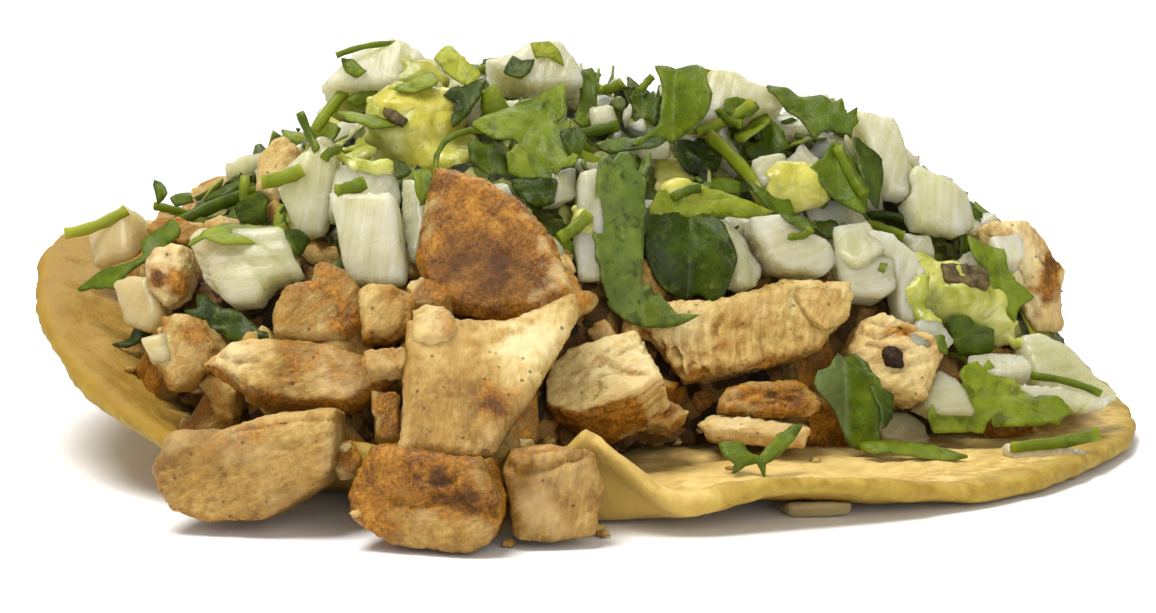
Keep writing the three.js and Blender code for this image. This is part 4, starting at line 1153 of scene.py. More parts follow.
def leaf(outline, fold, curl, tone, toothing, step, thick, seed, bruises):
    """A cilantro leaf in its own frame: outline in the XY plane, face towards +Z."""
    flat, faces = sheet(outline, step, toothing, seed)
    half = np.maximum(np.abs(flat).max(0), 1)
    x, y = flat[:, 0], flat[:, 1]
    spread = flat - flat.mean(0)
    _, _, axes = np.linalg.svd(spread, full_matrices=False)
    along, across = spread @ axes[0], spread @ axes[1]
    solid = np.stack((x, y, x * 0 + 7.7 * seed), 1)
    height = fold * np.abs(x / half[0]) - curl * (y / half[1]) ** 2
    height = height + 0.9 * noise(solid * (0.16, 0.16, 1), seed + 2)
    height = height + 0.2 * noise(solid * (0.6, 0.6, 1), seed + 3)
    height = height - 0.22 * np.exp(-((across / 0.6) ** 2))
    row = (along - 0.8 * np.abs(across)) * 0.42
    row = row + 0.6 * noise(solid * (0.3, 0.3, 1), seed + 4)
    height = height + 0.1 * np.abs(np.abs(row % 1 - 0.5) * 2 - 1)
    one = np.ones(len(flat))
    values = {
        "blade": np.stack((along, across, one * 3.1 * seed), 1),
        "tone": one * tone,
        "bruise": one * bruises,
        "veined": one * min(1, 0.1 + tone),
    }
    return thickened(np.stack((x, y, height), 1), faces, thick, **values)


# The leaves that are nodes. Place in mm, turn in degrees, fold and curl are the CAD source's,
# but for cilantro_long, which lies 0.6 mm nearer to the camera. `seen` is the outline by pixel,
# and the two that face the back have an outline in mm. `turned_over` says up to which X, in
# mm, a leaf shows its paler lower face, and how much of it.
LEAVES = {
    "cilantro_long": dict(
        at=(6, -23.6, 25), turn=(4, 20, 0), fold=1.9, curl=1.4, tone=0.5, bruises=0.6,
        turned_over=(30, 0.4),
        seen=[(596, 173), (600, 161), (606, 155), (613, 163), (619, 151), (629, 149), (636, 153),
              (638, 171), (645, 153), (652, 150), (651, 163), (645, 184), (645, 204), (643, 240),
              (642, 270), (643, 286), (650, 284), (653, 298), (661, 294), (667, 304), (677, 314),
              (699, 316), (690, 321), (676, 326), (655, 327), (638, 324), (623, 318), (614, 310),
              (606, 304), (609, 300), (602, 287), (596, 261), (593, 240), (591, 216), (594, 198)],
    ),
    "cilantro_curl": dict(
        at=(9.7, -8, 37.4), turn=(-6, 34, 0), fold=2.4, curl=1.4, tone=0.52, bruises=0.1,
        teeth=0.05,
        seen=[(655, 67), (671, 65), (698, 67), (703, 72), (708, 88), (713, 103), (710, 117),
              (705, 123), (687, 131), (667, 138), (639, 147), (631, 147), (645, 137), (659, 123),
              (661, 107), (663, 92), (659, 76)],
    ),
    "cilantro_dark": dict(
        at=(11.4, -18.5, 22.8), turn=(2, 26, 0), fold=1.6, curl=0.8, tone=0.27, bruises=0.6,
        teeth=0.1,
        seen=[(643, 212), (668, 207), (700, 212), (722, 226), (736, 262), (731, 280), (722, 300),
              (712, 304), (700, 292), (682, 296), (662, 288), (650, 272), (644, 250)],
    ),
    "cilantro_centre": dict(
        at=(-6.2, -19, 35.8), turn=(-4, 40, 0), fold=0.7, curl=1.2, tone=0.62, bruises=0.4,
        teeth=0.6,
        seen=[(472, 128), (491, 114), (520, 99), (564, 84), (566, 116), (553, 124), (568, 124),
              (579, 160), (564, 168), (554, 172), (537, 179), (509, 170), (507, 154), (520, 145),
              (486, 137)],
    ),
    "cilantro_dark_pair": dict(
        at=(-13, -14.5, 38.2), turn=(10, 44, 0), fold=0.6, curl=0.3, tone=0.2, bruises=0.4,
        seen=[(443, 97), (455, 88), (484, 80), (484, 90), (470, 112), (453, 128), (452, 116),
              (458, 104)],
    ),
    "cilantro_top_right": dict(
        at=(24.5, -3.5, 36.6), turn=(10, 44, 0), fold=0.4, curl=0.5, tone=0.45, bruises=0.3,
        teeth=0.6,
        seen=[(766, 86), (789, 86), (800, 96), (809, 95), (821, 95), (833, 104), (841, 101),
              (847, 115), (857, 111), (851, 134), (834, 127), (815, 133), (800, 117), (787, 109)],
    ),
    "cilantro_oblong": dict(
        at=(27.4, -10, 30.4), turn=(10, 34, 0), fold=0.5, curl=0.2, tone=0.5, bruises=0.2,
        seen=[(833, 141), (845, 156), (868, 192), (864, 214), (846, 205), (820, 186), (807, 172),
              (822, 160)],
    ),
    "cilantro_right": dict(
        at=(45.3, -11, 18.4), turn=(20, 26, 0), fold=0.5, curl=0.5, tone=0.6, bruises=0.2,
        seen=[(968, 236), (1003, 251), (1003, 262), (1012, 280), (1032, 299), (1018, 308),
              (1014, 323), (993, 291), (984, 268), (974, 262)],
    ),
    "cilantro_fan": dict(
        at=(44.4, -20.5, 6.7), turn=(8, 24, 0), fold=0.6, curl=0.8, tone=0.7, bruises=0.5,
        teeth=0.7,
        seen=[(925, 416), (934, 405), (940, 406), (947, 416), (953, 405), (961, 408), (970, 424),
              (957, 393), (963, 383), (958, 376), (964, 366), (978, 360), (984, 367), (990, 358),
              (996, 365), (1000, 374), (1017, 381), (1032, 396), (1063, 405), (1067, 414),
              (1056, 424), (1026, 427), (997, 425), (990, 412), (987, 427), (971, 431),
              (934, 433)],
    ),
    "cilantro_folded": dict(
        at=(27.5, -24.5, 7.9), turn=(6, 16, 0), fold=2.8, curl=0.7, tone=0.42, bruises=0.2,
        # Painted sheen: the paler left half of this leaf also stands for the sheen on it.
        turned_over=(0.3, 1),
        seen=[(810, 385), (816, 374), (830, 366), (837, 353), (844, 359), (854, 355), (861, 363),
              (875, 384), (878, 398), (875, 424), (872, 450), (854, 450), (847, 441), (833, 412),
              (814, 394)],
    ),
    "cilantro_sprig": dict(
        at=(17.9, -39, 5), turn=(0, 34, 0), fold=0.4, curl=0.4, tone=0.55, bruises=0.3,
        seen=[(718, 445), (728, 443), (742, 444), (747, 452), (759, 456), (768, 447), (780, 431),
              (793, 424), (803, 424), (793, 439), (784, 450), (772, 460), (766, 463), (765, 479),
              (757, 463), (745, 468), (731, 475), (734, 466), (722, 454)],
    ),
    "cilantro_dark_left": dict(
        at=(-36.8, -34, 17.7), turn=(-10, 24, 0), fold=0.5, curl=0.3, tone=0.26, bruises=0.6,
        teeth=0.9,
        seen=[(185, 312), (197, 309), (196, 295), (204, 294), (213, 302), (223, 308), (235, 308),
              (250, 321), (261, 332), (268, 341), (255, 345), (246, 349), (234, 338), (220, 331),
              (206, 321), (196, 317)],
    ),
    "cilantro_left_strip": dict(
        at=(-50.3, -17, 20.2), turn=(-20, 24, 0), fold=0.3, curl=0.2, tone=0.5, bruises=0.2,
        seen=[(78, 290), (102, 272), (119, 268), (135, 264), (144, 257), (142, 240), (158, 228),
              (171, 218), (179, 226), (176, 236), (158, 250), (146, 264), (131, 276), (118, 290),
              (97, 289)],
    ),
    "cilantro_yellow_green": dict(
        at=(13.4, -16, 28.3), turn=(4, 30, 0), fold=0.5, curl=0.5, tone=0.8, bruises=0.2,
        seen=[(649, 208), (658, 196), (669, 188), (687, 181), (708, 188), (744, 202), (773, 212),
              (760, 217), (746, 218), (718, 214), (687, 215), (663, 219), (651, 218)],
    ),
    "cilantro_back": dict(
        at=(-5, 26, 32), turn=(182, 42, 12), fold=0.9, curl=0.8, tone=0.5, bruises=0.4,
        outline=[(-6, 2), (-4.4, 3.4), (-3, 5), (-1.6, 3.9), (1, 5.5), (2.6, 4.2), (5, 4),
                 (4.8, 1.6), (6.5, -1), (4.4, -2), (3, -4.5), (0, -3.5), (-4, -4.5), (-3.6, -1)],
    ),
    "cilantro_back_right": dict(
        at=(32, 20, 27.5), turn=(166, 38, -20), fold=0.8, curl=0.6, tone=0.42, bruises=0.3,
        outline=[(-3, 3), (-1.4, 3.6), (0, 5.5), (1.2, 4), (3, 3.5), (2.6, 0.8), (3.5, -2),
                 (0, -5.5), (-3.5, -2.5), (-2.4, 0.4)],
    ),
}


def node_leaf(row, seed):
    """A leaf that is a node, from its row of LEAVES."""
    place = turned(row["at"], row["turn"])
    outline = row.get("outline") or outline_on(place, row["seen"])
    toothing = row.get("teeth", 0.3)
    shape = leaf(outline, row["fold"], row["curl"], row["tone"], toothing, 0.5, 0.3, seed,
                 row["bruises"])
    if "turned_over" in row:
        up_to, share = row["turned_over"]
        other_side = share * smoothstep(0.3, -0.3, shape.points[:, 0] - up_to)
        shape.values["under"] = np.maximum(shape.values["under"], other_side)
    return shape.placed(place)


# Chopped leaves between them, by pixel: outline, tone, fold and curl in mm.
LEAF_SCRAPS = [
    ([(468, 143), (484, 141), (503, 154), (509, 175), (488, 172), (470, 162)], 0.45, 0.4, 0.5),
    ([(510, 180), (530, 176), (556, 180), (554, 203), (534, 205), (520, 196)], 0.25, 0.3, 0.3),
    ([(503, 70), (512, 53), (522, 58), (534, 58), (530, 70), (520, 77)], 0.3, 0.3, 0.3),
    ([(530, 44), (549, 41), (560, 52), (564, 64), (548, 55), (536, 57)], 0.85, 0.2, 0.4),
    ([(434, 63), (448, 48), (464, 60), (480, 73), (472, 83), (450, 75)], 0.95, 0.2, 0.3),
    ([(582, 70), (592, 69), (598, 92), (595, 108), (586, 129),
      (575, 121), (580, 96)], 0.5, 0.5, 0.3),
    ([(627, 81), (645, 92), (659, 107), (655, 126), (645, 116), (636, 118)], 0.4, 0.5, 0.6),
    ([(341, 58), (354, 62), (366, 73), (357, 79), (344, 70)], 0.55, 0.3, 0.2),
    ([(394, 90), (410, 78), (432, 68), (438, 86), (414, 91)], 0.76, 0.3, 0.4),
    ([(154, 181), (162, 184), (168, 197), (158, 204), (155, 192)], 0.5, 0.3, 0.3),
    ([(170, 200), (182, 194), (190, 192), (192, 200), (176, 206)], 0.45, 0.3, 0.3),
    ([(188, 243), (202, 232), (227, 222), (240, 225), (274, 226), (285, 224), (286, 234),
      (274, 239), (265, 243), (227, 246), (204, 238)], 0.78, 0.2, 0.4),
    ([(238, 207), (262, 190), (268, 200), (266, 222), (243, 223)], 0.4, 0.4, 0.3),
    ([(286, 228), (298, 232), (310, 240), (303, 252), (290, 246)], 0.3, 0.3, 0.3),
    ([(112, 344), (130, 337), (136, 329), (152, 335), (140, 343), (122, 345)], 0.25, 0.2, 0.2),
    ([(394, 162), (404, 166), (411, 176), (398, 184)], 0.3, 0.2, 0.2),
    ([(413, 172), (430, 171), (435, 192), (420, 204)], 0.62, 0.3, 0.3),
    ([(346, 100), (362, 92), (378, 92), (372, 102), (358, 108)], 0.66, 0.3, 0.3),
    ([(338, 112), (352, 116), (376, 118), (396, 128), (372, 130), (346, 122)], 0.66, 0.3, 0.3),
    ([(736, 139), (750, 122), (766, 112), (770, 122), (758, 136), (746, 146)], 0.66, 0.4, 0.3),
    ([(764, 116), (778, 126), (788, 150), (768, 160), (748, 158),
      (744, 148), (760, 140)], 0.42, 0.5, 0.5),
    # This darkest scrap lies in a dark recess; its dark tone also paints in the shade there.
    ([(673, 140), (700, 136), (722, 150), (716, 172), (690, 176), (672, 160)], 0.18, 0.6, 0.4),
    ([(694, 178), (716, 176), (741, 184), (738, 193), (712, 190)], 0.4, 0.3, 0.2),
    ([(746, 178), (764, 190), (790, 202), (798, 214), (776, 212), (752, 196)], 0.5, 0.3, 0.3),
    ([(858, 134), (870, 146), (883, 159), (882, 182), (879, 208),
      (866, 194), (861, 177)], 0.3, 0.3, 0.3),
    ([(596, 146), (620, 140), (650, 138), (668, 140), (650, 148), (612, 152)], 0.35, 0.3, 0.2),
    ([(944, 318), (956, 314), (969, 318), (980, 326), (994, 330),
      (993, 352), (960, 356)], 0.42, 0.4, 0.3),
    ([(938, 335), (946, 336), (946, 354), (940, 352)], 0.5, 0.1, 0.1),
    ([(858, 448), (880, 446), (930, 446), (968, 457), (946, 462),
      (900, 459), (868, 456)], 0.6, 0.2, 0.2),
    ([(876, 384), (890, 396), (888, 420), (878, 430)], 0.3, 0.3, 0.3),
    ([(880, 262), (888, 264), (884, 272), (878, 270)], 0.6, 0.1, 0.1),
    ([(820, 218), (836, 222), (842, 236), (828, 240), (816, 230)], 0.35, 0.3, 0.3),
    ([(560, 130), (576, 126), (586, 140), (580, 154), (566, 150)], 0.3, 0.4, 0.3),
    ([(780, 215), (800, 214), (818, 226), (806, 232), (788, 226)], 0.38, 0.3, 0.3),
    ([(725, 98), (748, 100), (760, 108), (740, 120), (724, 112)], 0.5, 0.4, 0.3),
]

# Stalks by pixel: their two ends, radius in mm, tone.
STALKS = [
    ((178, 220), (258, 188), 0.85, 0.55), ((66, 237), (128, 213), 0.75, 1.05),
    ((154, 205), (190, 214), 0.6, 0.75), ((314, 129), (345, 89), 0.75, 0.85),
    ((300, 114), (317, 152), 0.6, 0.55), ((322, 156), (339, 147), 0.6, 0.62),
    ((336, 193), (365, 183), 0.9, 0.72), ((262, 184), (303, 171), 0.9, 0.85),
    ((336, 52), (396, 40), 0.4, 0.6), ((698, 135), (754, 105), 0.75, 0.8),
    ((572, 136), (618, 125), 0.75, 0.52), ((710, 133), (768, 196), 0.95, 0.8),
    ((740, 128), (716, 112), 0.6, 0.6), ((871, 213), (908, 218), 0.6, 0.25),
    ((868, 224), (904, 236), 0.75, 0.75), ((1011, 450), (1099, 436), 0.8, 0.72),
    ((1030, 372), (1102, 390), 0.5, 0.62), ((560, 240), (590, 215), 0.8, 0.8),
    ((836, 148), (862, 196), 0.7, 0.6), ((952, 352), (972, 364), 0.4, 0.7),
    ((600, 92), (622, 84), 0.7, 0.7), ((640, 90), (652, 76), 0.5, 0.7),
    ((672, 196), (700, 186), 0.6, 0.5), ((790, 240), (812, 232), 0.5, 0.6),
]

# A curled stalk beside the salsa, by pixel.
CURLED_STALK = [(435, 172), (437, 155), (444, 142), (456, 134), (470, 130), (486, 131)]

# Charred green pepper, by pixel: outline and thickness in mm.
CHARRED = [
    ([(384, 105), (392, 108), (408, 118), (402, 127), (386, 118), (381, 110)], 1.2),
    ([(940, 262), (966, 263), (989, 268), (991, 288), (966, 284), (945, 280)], 1.3),
]

# Crumbs of chicken on the table and on the dough, by pixel: radius in mm.
CRUMBS = [
    (596, 536, 0.9), (604, 538, 0.6), (356, 516, 0.6), (508, 548, 0.7), (344, 452, 0.8),
    (664, 436, 0.9), (676, 444, 0.6), (640, 430, 0.8), (700, 432, 0.5), (130, 372, 0.6),
    (196, 392, 0.9), (730, 470, 0.5), (816, 462, 0.6), (160, 384, 0.7), (548, 444, 0.8),
]

# Peppercorns and coarse pepper, by pixel: radius in mm.
PEPPERCORNS = [(892, 356, 1.15), (898, 363, 0.7), (886, 351, 0.5)]

# Where thin salsa has run over the toppings, by pixel: outline, how thick in mm, and tone from
# yellow to green.
RUNS = [
    ([(330, 100), (350, 92), (372, 100), (392, 120), (398, 148), (402, 170), (376, 176),
      (352, 170), (332, 156), (322, 126)], 0.9, 0.85),
    ([(438, 142), (470, 138), (478, 156), (470, 172), (446, 168)], 1.3, 0.55),
    ([(400, 128), (446, 126), (450, 146), (440, 166), (406, 166), (398, 146)], 2.5, 0.1),
    ([(656, 166), (674, 160), (694, 178), (686, 193), (658, 193)], 1.3, 0.5),
    ([(766, 172), (790, 164), (820, 176), (818, 200), (790, 212), (768, 200)], 0.9, 0.3),
    ([(905, 288), (922, 270), (944, 284), (966, 290), (990, 300), (1010, 314), (1030, 336),
      (1022, 350), (990, 344), (958, 336), (928, 322), (906, 310)], 0.7, 0.9),
    ([(556, 208), (575, 204), (592, 214), (590, 230), (570, 236)], 0.9, 0.9),
    ([(404, 58), (436, 66), (450, 84), (420, 92), (388, 90)], 0.9, 0.75),
]


def within(u, v, outline):
    """Whether a pixel lies inside an outline."""
    hit = False
    for (u1, v1), (u2, v2) in zip(outline, outline[1:] + outline[:1]):
        if (v1 > v) != (v2 > v) and u < u1 + (v - v1) * (u2 - u1) / (v2 - v1):
            hit = not hit
    return hit


def run_of_salsa(pile, outline, thick, seed):
    """Drops of salsa laid close together over what shows inside an outline."""
    roll = random.Random(seed)
    step = 5
    drops = []
    us, vs = zip(*outline)
    for v in range(min(vs), max(vs), step):
        for u in range(min(us), max(us), step):
            u_drop, v_drop = u + roll.uniform(-2, 2), v + roll.uniform(-2, 2)
            hit = pile.seen(u_drop, v_drop) if within(u_drop, v_drop, outline) else None
            patch = float(noise([(u * 0.05, v * 0.05, seed)], 3)[0])
            if hit is not None and patch > -0.45:
                radius = thick * (0.9 + 0.5 * patch)
                drops.append(ball(hit + ray(u, v) * 0.6 * radius, radius))
    return drops


def stalk(points, radius, tone, seed):
    """A bent stalk along points, cut off flat."""
    sides = 10
    path = [Vector(p) for p in points]
    rings, count = [], len(path)
    for k, p in enumerate(path):
        ahead = (path[min(k + 1, count - 1)] - path[max(k - 1, 0)]).normalized()
        side = ahead.cross((0.3, 0.9, 0.2)).normalized()
        other = ahead.cross(side)
        swell = radius * (0.82 + 0.08 * math.sin(2.1 * k + seed))
        for n in range(sides):
            a = 2 * math.pi * n / sides
            rib = swell * (1 + 0.12 * (n % 2))
            rings.append(p + (side * math.cos(a) + other * 0.55 * math.sin(a)) * rib)
    faces = []
    for k in range(count - 1):
        for n in range(sides):
            a, b = k * sides + n, k * sides + (n + 1) % sides
            faces.append([a, b, b + sides, a + sides])
    faces.append(list(range(sides))[::-1])
    faces.append([(count - 1) * sides + n for n in range(sides)])
    points = np.array([tuple(p) for p in rings])
    one = np.ones(len(points))
    tones = one * (tone * 0.85)
    tones[:sides] += 0.2
    tones[-sides:] += 0.2
    values = {"tone": tones, "bruise": one * 0.1, "under": one * 0, "veined": one * 0}
    return Shape(points, faces, blade=points * (0.4, 0.4, 0.4) + 5.1 * seed, **values)


def laid_stalk(pile, start, end, radius, tone, seed):
    """A stalk between two pixels, a little bowed, resting on the pile."""
    steps = 8
    pixels = between(start, end, steps)
    place = lying_on(pile, pixels, radius * 0.9)
    flat = outline_on(place, pixels)
    bow = 0.5 * math.sin(seed * 2.3)
    points = [(x, y, bow * (t / steps * 2 - 1) ** 2) for t, (x, y) in enumerate(flat)]
    return settled(pile, stalk([place @ Vector(p) for p in points], radius, tone, seed))


def laid_leaf(pile, row, seed):
    """A chopped leaf on the pile, from its row of LEAF_SCRAPS."""
    pixels, tone, fold, curl = row
    place = lying_on(pile, pixels, 0.8)
    place, outline = centred(place, outline_on(place, pixels))
    return settled(pile, leaf(outline, fold, curl, tone, 0.3, 0.6, 0.28, seed, 0.3).placed(place))


def laid_prism(pile, pixels, thick, lift):
    """A slab with the given outline, its front face turned partly to the camera."""
    place = lying_on(pile, pixels, lift)
    outline = outline_on(place, pixels)
    count = len(outline)
    taper = 0.9
    middle = np.mean(outline, axis=0)
    back = [tuple(middle + (np.array(p) - middle) * taper) for p in outline]
    points = [(x, y, 0) for x, y in outline] + [(x, y, -thick) for x, y in back]
    area = sum(
        a[0] * b[1] - b[0] * a[1] for a, b in zip(outline, outline[1:] + outline[:1])
    )
    ring = list(range(count)) if area > 0 else list(range(count))[::-1]
    faces = [ring, [v + count for v in reversed(ring)]]
    for a, b in zip(ring, ring[1:] + ring[:1]):
        faces.append([a, a + count, b + count, b])
    return settled(pile, Shape(moved(np.array(points, float), place), faces))


def ball(centre, radius, rings=6):
    """A closed ball of quads and two fans."""
    points, faces, sides = [(0, 0, 1)], [], rings * 2
    for k in range(1, rings):
        a = math.pi * k / rings
        for n in range(sides):
            b = 2 * math.pi * n / sides
            points.append((math.sin(a) * math.cos(b), math.sin(a) * math.sin(b), math.cos(a)))
    points.append((0, 0, -1))
    last = len(points) - 1
    for n in range(sides):
        m = (n + 1) % sides
        faces.append([0, 1 + n, 1 + m])
        faces.append([last, last - sides + m, last - sides + n])
        for k in range(rings - 2):
            a = 1 + k * sides
            faces.append([a + n, a + n + sides, a + m + sides, a + m])
    return Shape(np.array(points) * radius + np.array(centre), faces)


# ------------------------------------------------------------------ small pieces


def crumb(place, size, seed):
    """A crumb of chicken that rests on a place."""
    shape = ball((0, 0, 0), size, 5)
    shape.points = shape.points * (1, 0.8, 0.6) + 0.35 * size * np.stack(
        [noise(shape.points / size * 1.3, seed + k) for k in range(3)], 1
    )
    shape.points += np.array(place) - (0, 0, shape.points[:, 2].min())
    pale = np.full(len(shape.points), 0.05)
    sear = np.full(len(shape.points), 0.3 + 0.3 * (seed % 2))
    shape.values = {"grain": shape.points + 3.1 * seed, "sear": sear, "pale": pale}
    return shape


def box_of_cells(cells):
    """The points and the faces on the outside of a box of cells that runs from -1 to 1."""
    nx, ny, nz = cells
    points, index = [], {}
    for i, j, k in itertools.product(range(nx + 1), range(ny + 1), range(nz + 1)):
        if i in (0, nx) or j in (0, ny) or k in (0, nz):
            index[i, j, k] = len(points)
            points.append((i / nx * 2 - 1, j / ny * 2 - 1, k / nz * 2 - 1))
    faces = []
    for axis, (na, nb) in enumerate(((ny, nz), (nz, nx), (nx, ny))):
        for a, b in itertools.product(range(na), range(nb)):
            for side in (0, 1):
                corner = []
                for da, db in ((0, 0), (1, 0), (1, 1), (0, 1)):
                    where = [0, 0, 0]
                    where[axis] = side * (nx, ny, nz)[axis]
                    where[(axis + 1) % 3] = a + da
                    where[(axis + 2) % 3] = b + db
                    corner.append(index[tuple(where)])
                faces.append(corner if side else corner[::-1])
    return np.array(points), faces


def block(size, cells, rough, seed, bend):
    """A small chopped block: a box of cells whose corners are softened and shifted."""
    p, faces = box_of_cells(cells)
    away = np.linalg.norm(p, axis=1)[:, None]
    p = p * (1 - 0.1 * np.clip(away - 1, 0, 1))
    roll = random.Random(seed)
    skew = np.array([[1, roll.uniform(-0.4, 0.4), 0], [roll.uniform(-0.4, 0.4), 1, 0], [0, 0, 1]])
    p = (p @ skew) * (np.array(size) / 2)
    p[:, 2] += bend * ((p[:, 0] / size[0] * 2) ** 2 - 0.4)
    p += rough * np.stack([noise(p * 0.5 + 9 * k, seed + k) for k in range(3)], 1)
    return Shape(p, faces)


def onion_bit(seed):
    """A small flat dice of onion about the origin."""
    roll = random.Random(seed)
    size = (roll.uniform(4, 8.5), roll.uniform(3, 6), roll.uniform(1.8, 3.2))
    shape = block(size, (8, 6, 4), 0.45, seed, roll.uniform(-0.7, 0.7))
    tone = np.full(len(shape.points), roll.uniform(0, 0.7))
    edge = np.clip(np.abs(shape.crown(1)) * 6, 0, 1)
    shape.values = {"grain": shape.points + 11.3 * seed, "tone": tone, "edge": edge}
    shape.values["soaked"] = np.full(len(tone), roll.uniform(0, 0.15))
    return shape


def meat_bit(seed):
    """A small chopped piece of chicken about the origin, about half of them browned on top."""
    roll = random.Random(seed)
    size = [roll.uniform(4, 9), roll.uniform(3.5, 6.5), roll.uniform(3, 5)]
    shape = block(size, (8, 6, 5), 0.6, seed, roll.uniform(-0.6, 0.6))
    p = shape.points
    normals = shape.normals()
    fibre = noise(p * (0.25, 1.3, 1.3), seed) + 0.5 * noise(p * (0.5, 2.4, 2.4), seed + 1)
    shape.points = p + normals * (0.16 * fibre)[:, None]
    sear = roll.uniform(0, 0.4) + 0.6 * smoothstep(0.2, 0.8, normals[:, 2]) * (roll.random() < 0.5)
    pale = np.full(len(p), roll.uniform(-0.04, 0.1))
    shape.values = {"grain": p + 12.1 * seed, "sear": sear + 0 * pale, "pale": pale}
    return shape


def leaf_bit(seed):
    """A small ragged piece of leaf about the origin."""
    roll = random.Random(seed)
    long, wide = roll.uniform(5, 11), roll.uniform(1.8, 5.5)
    count = roll.choice((7, 8, 9, 10))
    outline = []
    for k in range(count):
        a = 2 * math.pi * (k + roll.uniform(-0.3, 0.3)) / count
        far = roll.uniform(0.65, 1.15)
        outline.append((long / 2 * math.cos(a) * far, wide / 2 * math.sin(a) * far))
    fold, curl = roll.uniform(-1.2, 1.2), roll.uniform(-2, 2)
    tone = roll.choice((0.3, 0.4, 0.45, 0.5, 0.55, 0.6, 0.65, 0.7, 0.8, 0.9))
    return leaf(outline, fold, curl, tone, 0.5, 0.9, 0.3, seed, 0.3)


def stem_bit(seed):
    """A short bowed piece of stalk about the origin."""
    roll = random.Random(seed)
    long, bend = roll.uniform(5, 13), roll.uniform(-1.5, 1.5)
    points = [(long * (t / 6 - 0.5), bend * (t / 3 - 1) ** 2, 0.3 * math.sin(t)) for t in range(7)]
    return stalk(points, roll.uniform(0.4, 0.8), roll.uniform(0.6, 1.0), seed)


# ------------------------------------------------------------------ the heaps


def core(node, voxel, soften, sink, relief):
    """The core under the small pieces, its fused scraps melted down."""
    shape = refined(node, voxel, soften)
    p = shape.points
    bumps = relief * (layered(p * 0.3, 3, 4) - 0.8 * np.abs(noise(p * 0.5, 9)))
    shape.points = p + shape.normals() * (bumps - sink)[:, None]
    shape.values = {"grain": p}
    return shape


def spots_on(shape, count, seed, keep):
    """Random places on a shape, spread by area, with their normals."""
    roll = np.random.default_rng(seed)
    quads = np.array(shape.faces)
    corners = shape.points[quads]
    flat = np.cross(corners[:, 2] - corners[:, 0], corners[:, 3] - corners[:, 1])
    area = np.linalg.norm(flat, axis=1)
    flat /= area[:, None]
    picks = roll.choice(len(quads), count * 6, p=area / area.sum())
    spots = []
    for k in picks:
        middle = corners[k].mean(0)
        if keep(middle, flat[k]):
            spots.append((Vector(middle), Vector(flat[k])))
        if len(spots) == count:
            break
    return spots


def scatter(bits, spots, seed, lift, tilt, crowd, taken):
    """Lays copies of small pieces on spots, each turned its own way. `lift` is how high over a
    spot in mm, `tilt` how far it leans, `crowd` how much room it keeps to those `taken`."""
    roll = random.Random(seed)
    laid = []
    for spot, normal in spots:
        bit = bits[roll.randrange(len(bits))]
        size = float(np.abs(bit.points).max())
        if any((spot - q).length < crowd * (size + r) for q, r in taken):
            continue
        lean = Vector([roll.gauss(0, tilt) for _ in range(3)])
        up = (normal + lean).normalized()
        turn = up.to_track_quat("Z", "Y").to_matrix().to_4x4()
        spin = Matrix.Rotation(roll.uniform(0, 2 * math.pi), 4, "Z")
        place = Matrix.Translation(spot + normal * lift * roll.uniform(0.5, 1.4))
        put = bit.placed(place @ turn @ spin)
        put.keep_above(LOOSE_SOLE)
        if fits_in(put):
            taken.append((spot, size))
            laid.append(put)
    return laid


# ------------------------------------------------------------------ putting it together


def names_of(kind):
    """The CAD nodes of a kind, in a fixed order."""
    return sorted(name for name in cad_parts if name.startswith(kind))


# How green each spoonful of salsa is.
SPOONFUL_GREEN = {"salsa_crown": 0.1, "salsa_middle_right": 0.6, "salsa_right": 0.75}


def spoonful(name, seed):
    """A spoonful of salsa, swollen a little and lumpy."""
    shape = refined(name, *SALSA_MESH)
    p = shape.points
    lift = 0.3 * noise(p * 0.35, seed) + 0.1 * noise(p * 1.1, seed + 1) + 0.25
    shape.points = p + shape.normals() * lift[:, None]
    shape.values = {"grain": p, "tone": np.full(len(p), SPOONFUL_GREEN[name])}
    return shape


def filling_core():
    """The core under the chicken. What lies left of an X is pressed together towards it."""
    left_end, pressed = -43, 0.65
    shape = core("chicken_filling", voxel=0.7, soften=5, sink=0.5, relief=0.9)
    past_end = np.minimum(shape.points[:, 0] - left_end, 0)
    shape.points[:, 0] -= pressed * past_end
    return shape


def loose_meat(pile):
    """The scraps of chicken that show between the pieces."""
    scraps = []
    for k, (pixels, thick, browned) in enumerate(MEAT_SCRAPS):
        look = (40 + 37 * k % 90, browned, (0, 0, 1), 0.3, 0.15, 0.05)
        prism = melted([laid_prism(pile, pixels, thick, 0.8)], *MEAT_SCRAP_MESH)
        scraps.append(meaty(prism, look, SEEDS["meat scrap"] + k))
    return scraps


def loose_onion(pile):
    """The loose dice and slices of onion."""
    scraps = []
    for k, (pixels, thick, green) in enumerate(ONION_SCRAPS):
        prism = melted([laid_prism(pile, pixels, thick, 0.6)], *ONION_SCRAP_MESH)
        scraps.append(oniony(prism, 20 + 47 * k % 90, green, SEEDS["onion scrap"] + k))
    return scraps


def thin_salsa(pile):
    """All runs of thin salsa as one piece, as green as the drops near each point."""
    drops, tones = [], []
    for k, (outline, thick, green) in enumerate(RUNS):
        run = run_of_salsa(pile, outline, thick, SEEDS["run"] + k)
        drops.extend(run)
        tones.extend((drop.points.mean(0), green) for drop in run)
    near = KDTree(len(tones))
    for k, (place, _) in enumerate(tones):
        near.insert(place, k)
    near.balance()
    shape = melted(drops, *THIN_SALSA_MESH)
    tone = [np.mean([tones[k][1] for _, k, _ in near.find_n(p, 4)]) for p in shape.points]
    shape.points += shape.normals() * (0.15 * noise(shape.points * 0.6, 5))[:, None]
    shape.keep_above(LOOSE_SOLE)
    shape.values = {"grain": shape.points.copy(), "tone": np.array(tone)}
    return shape


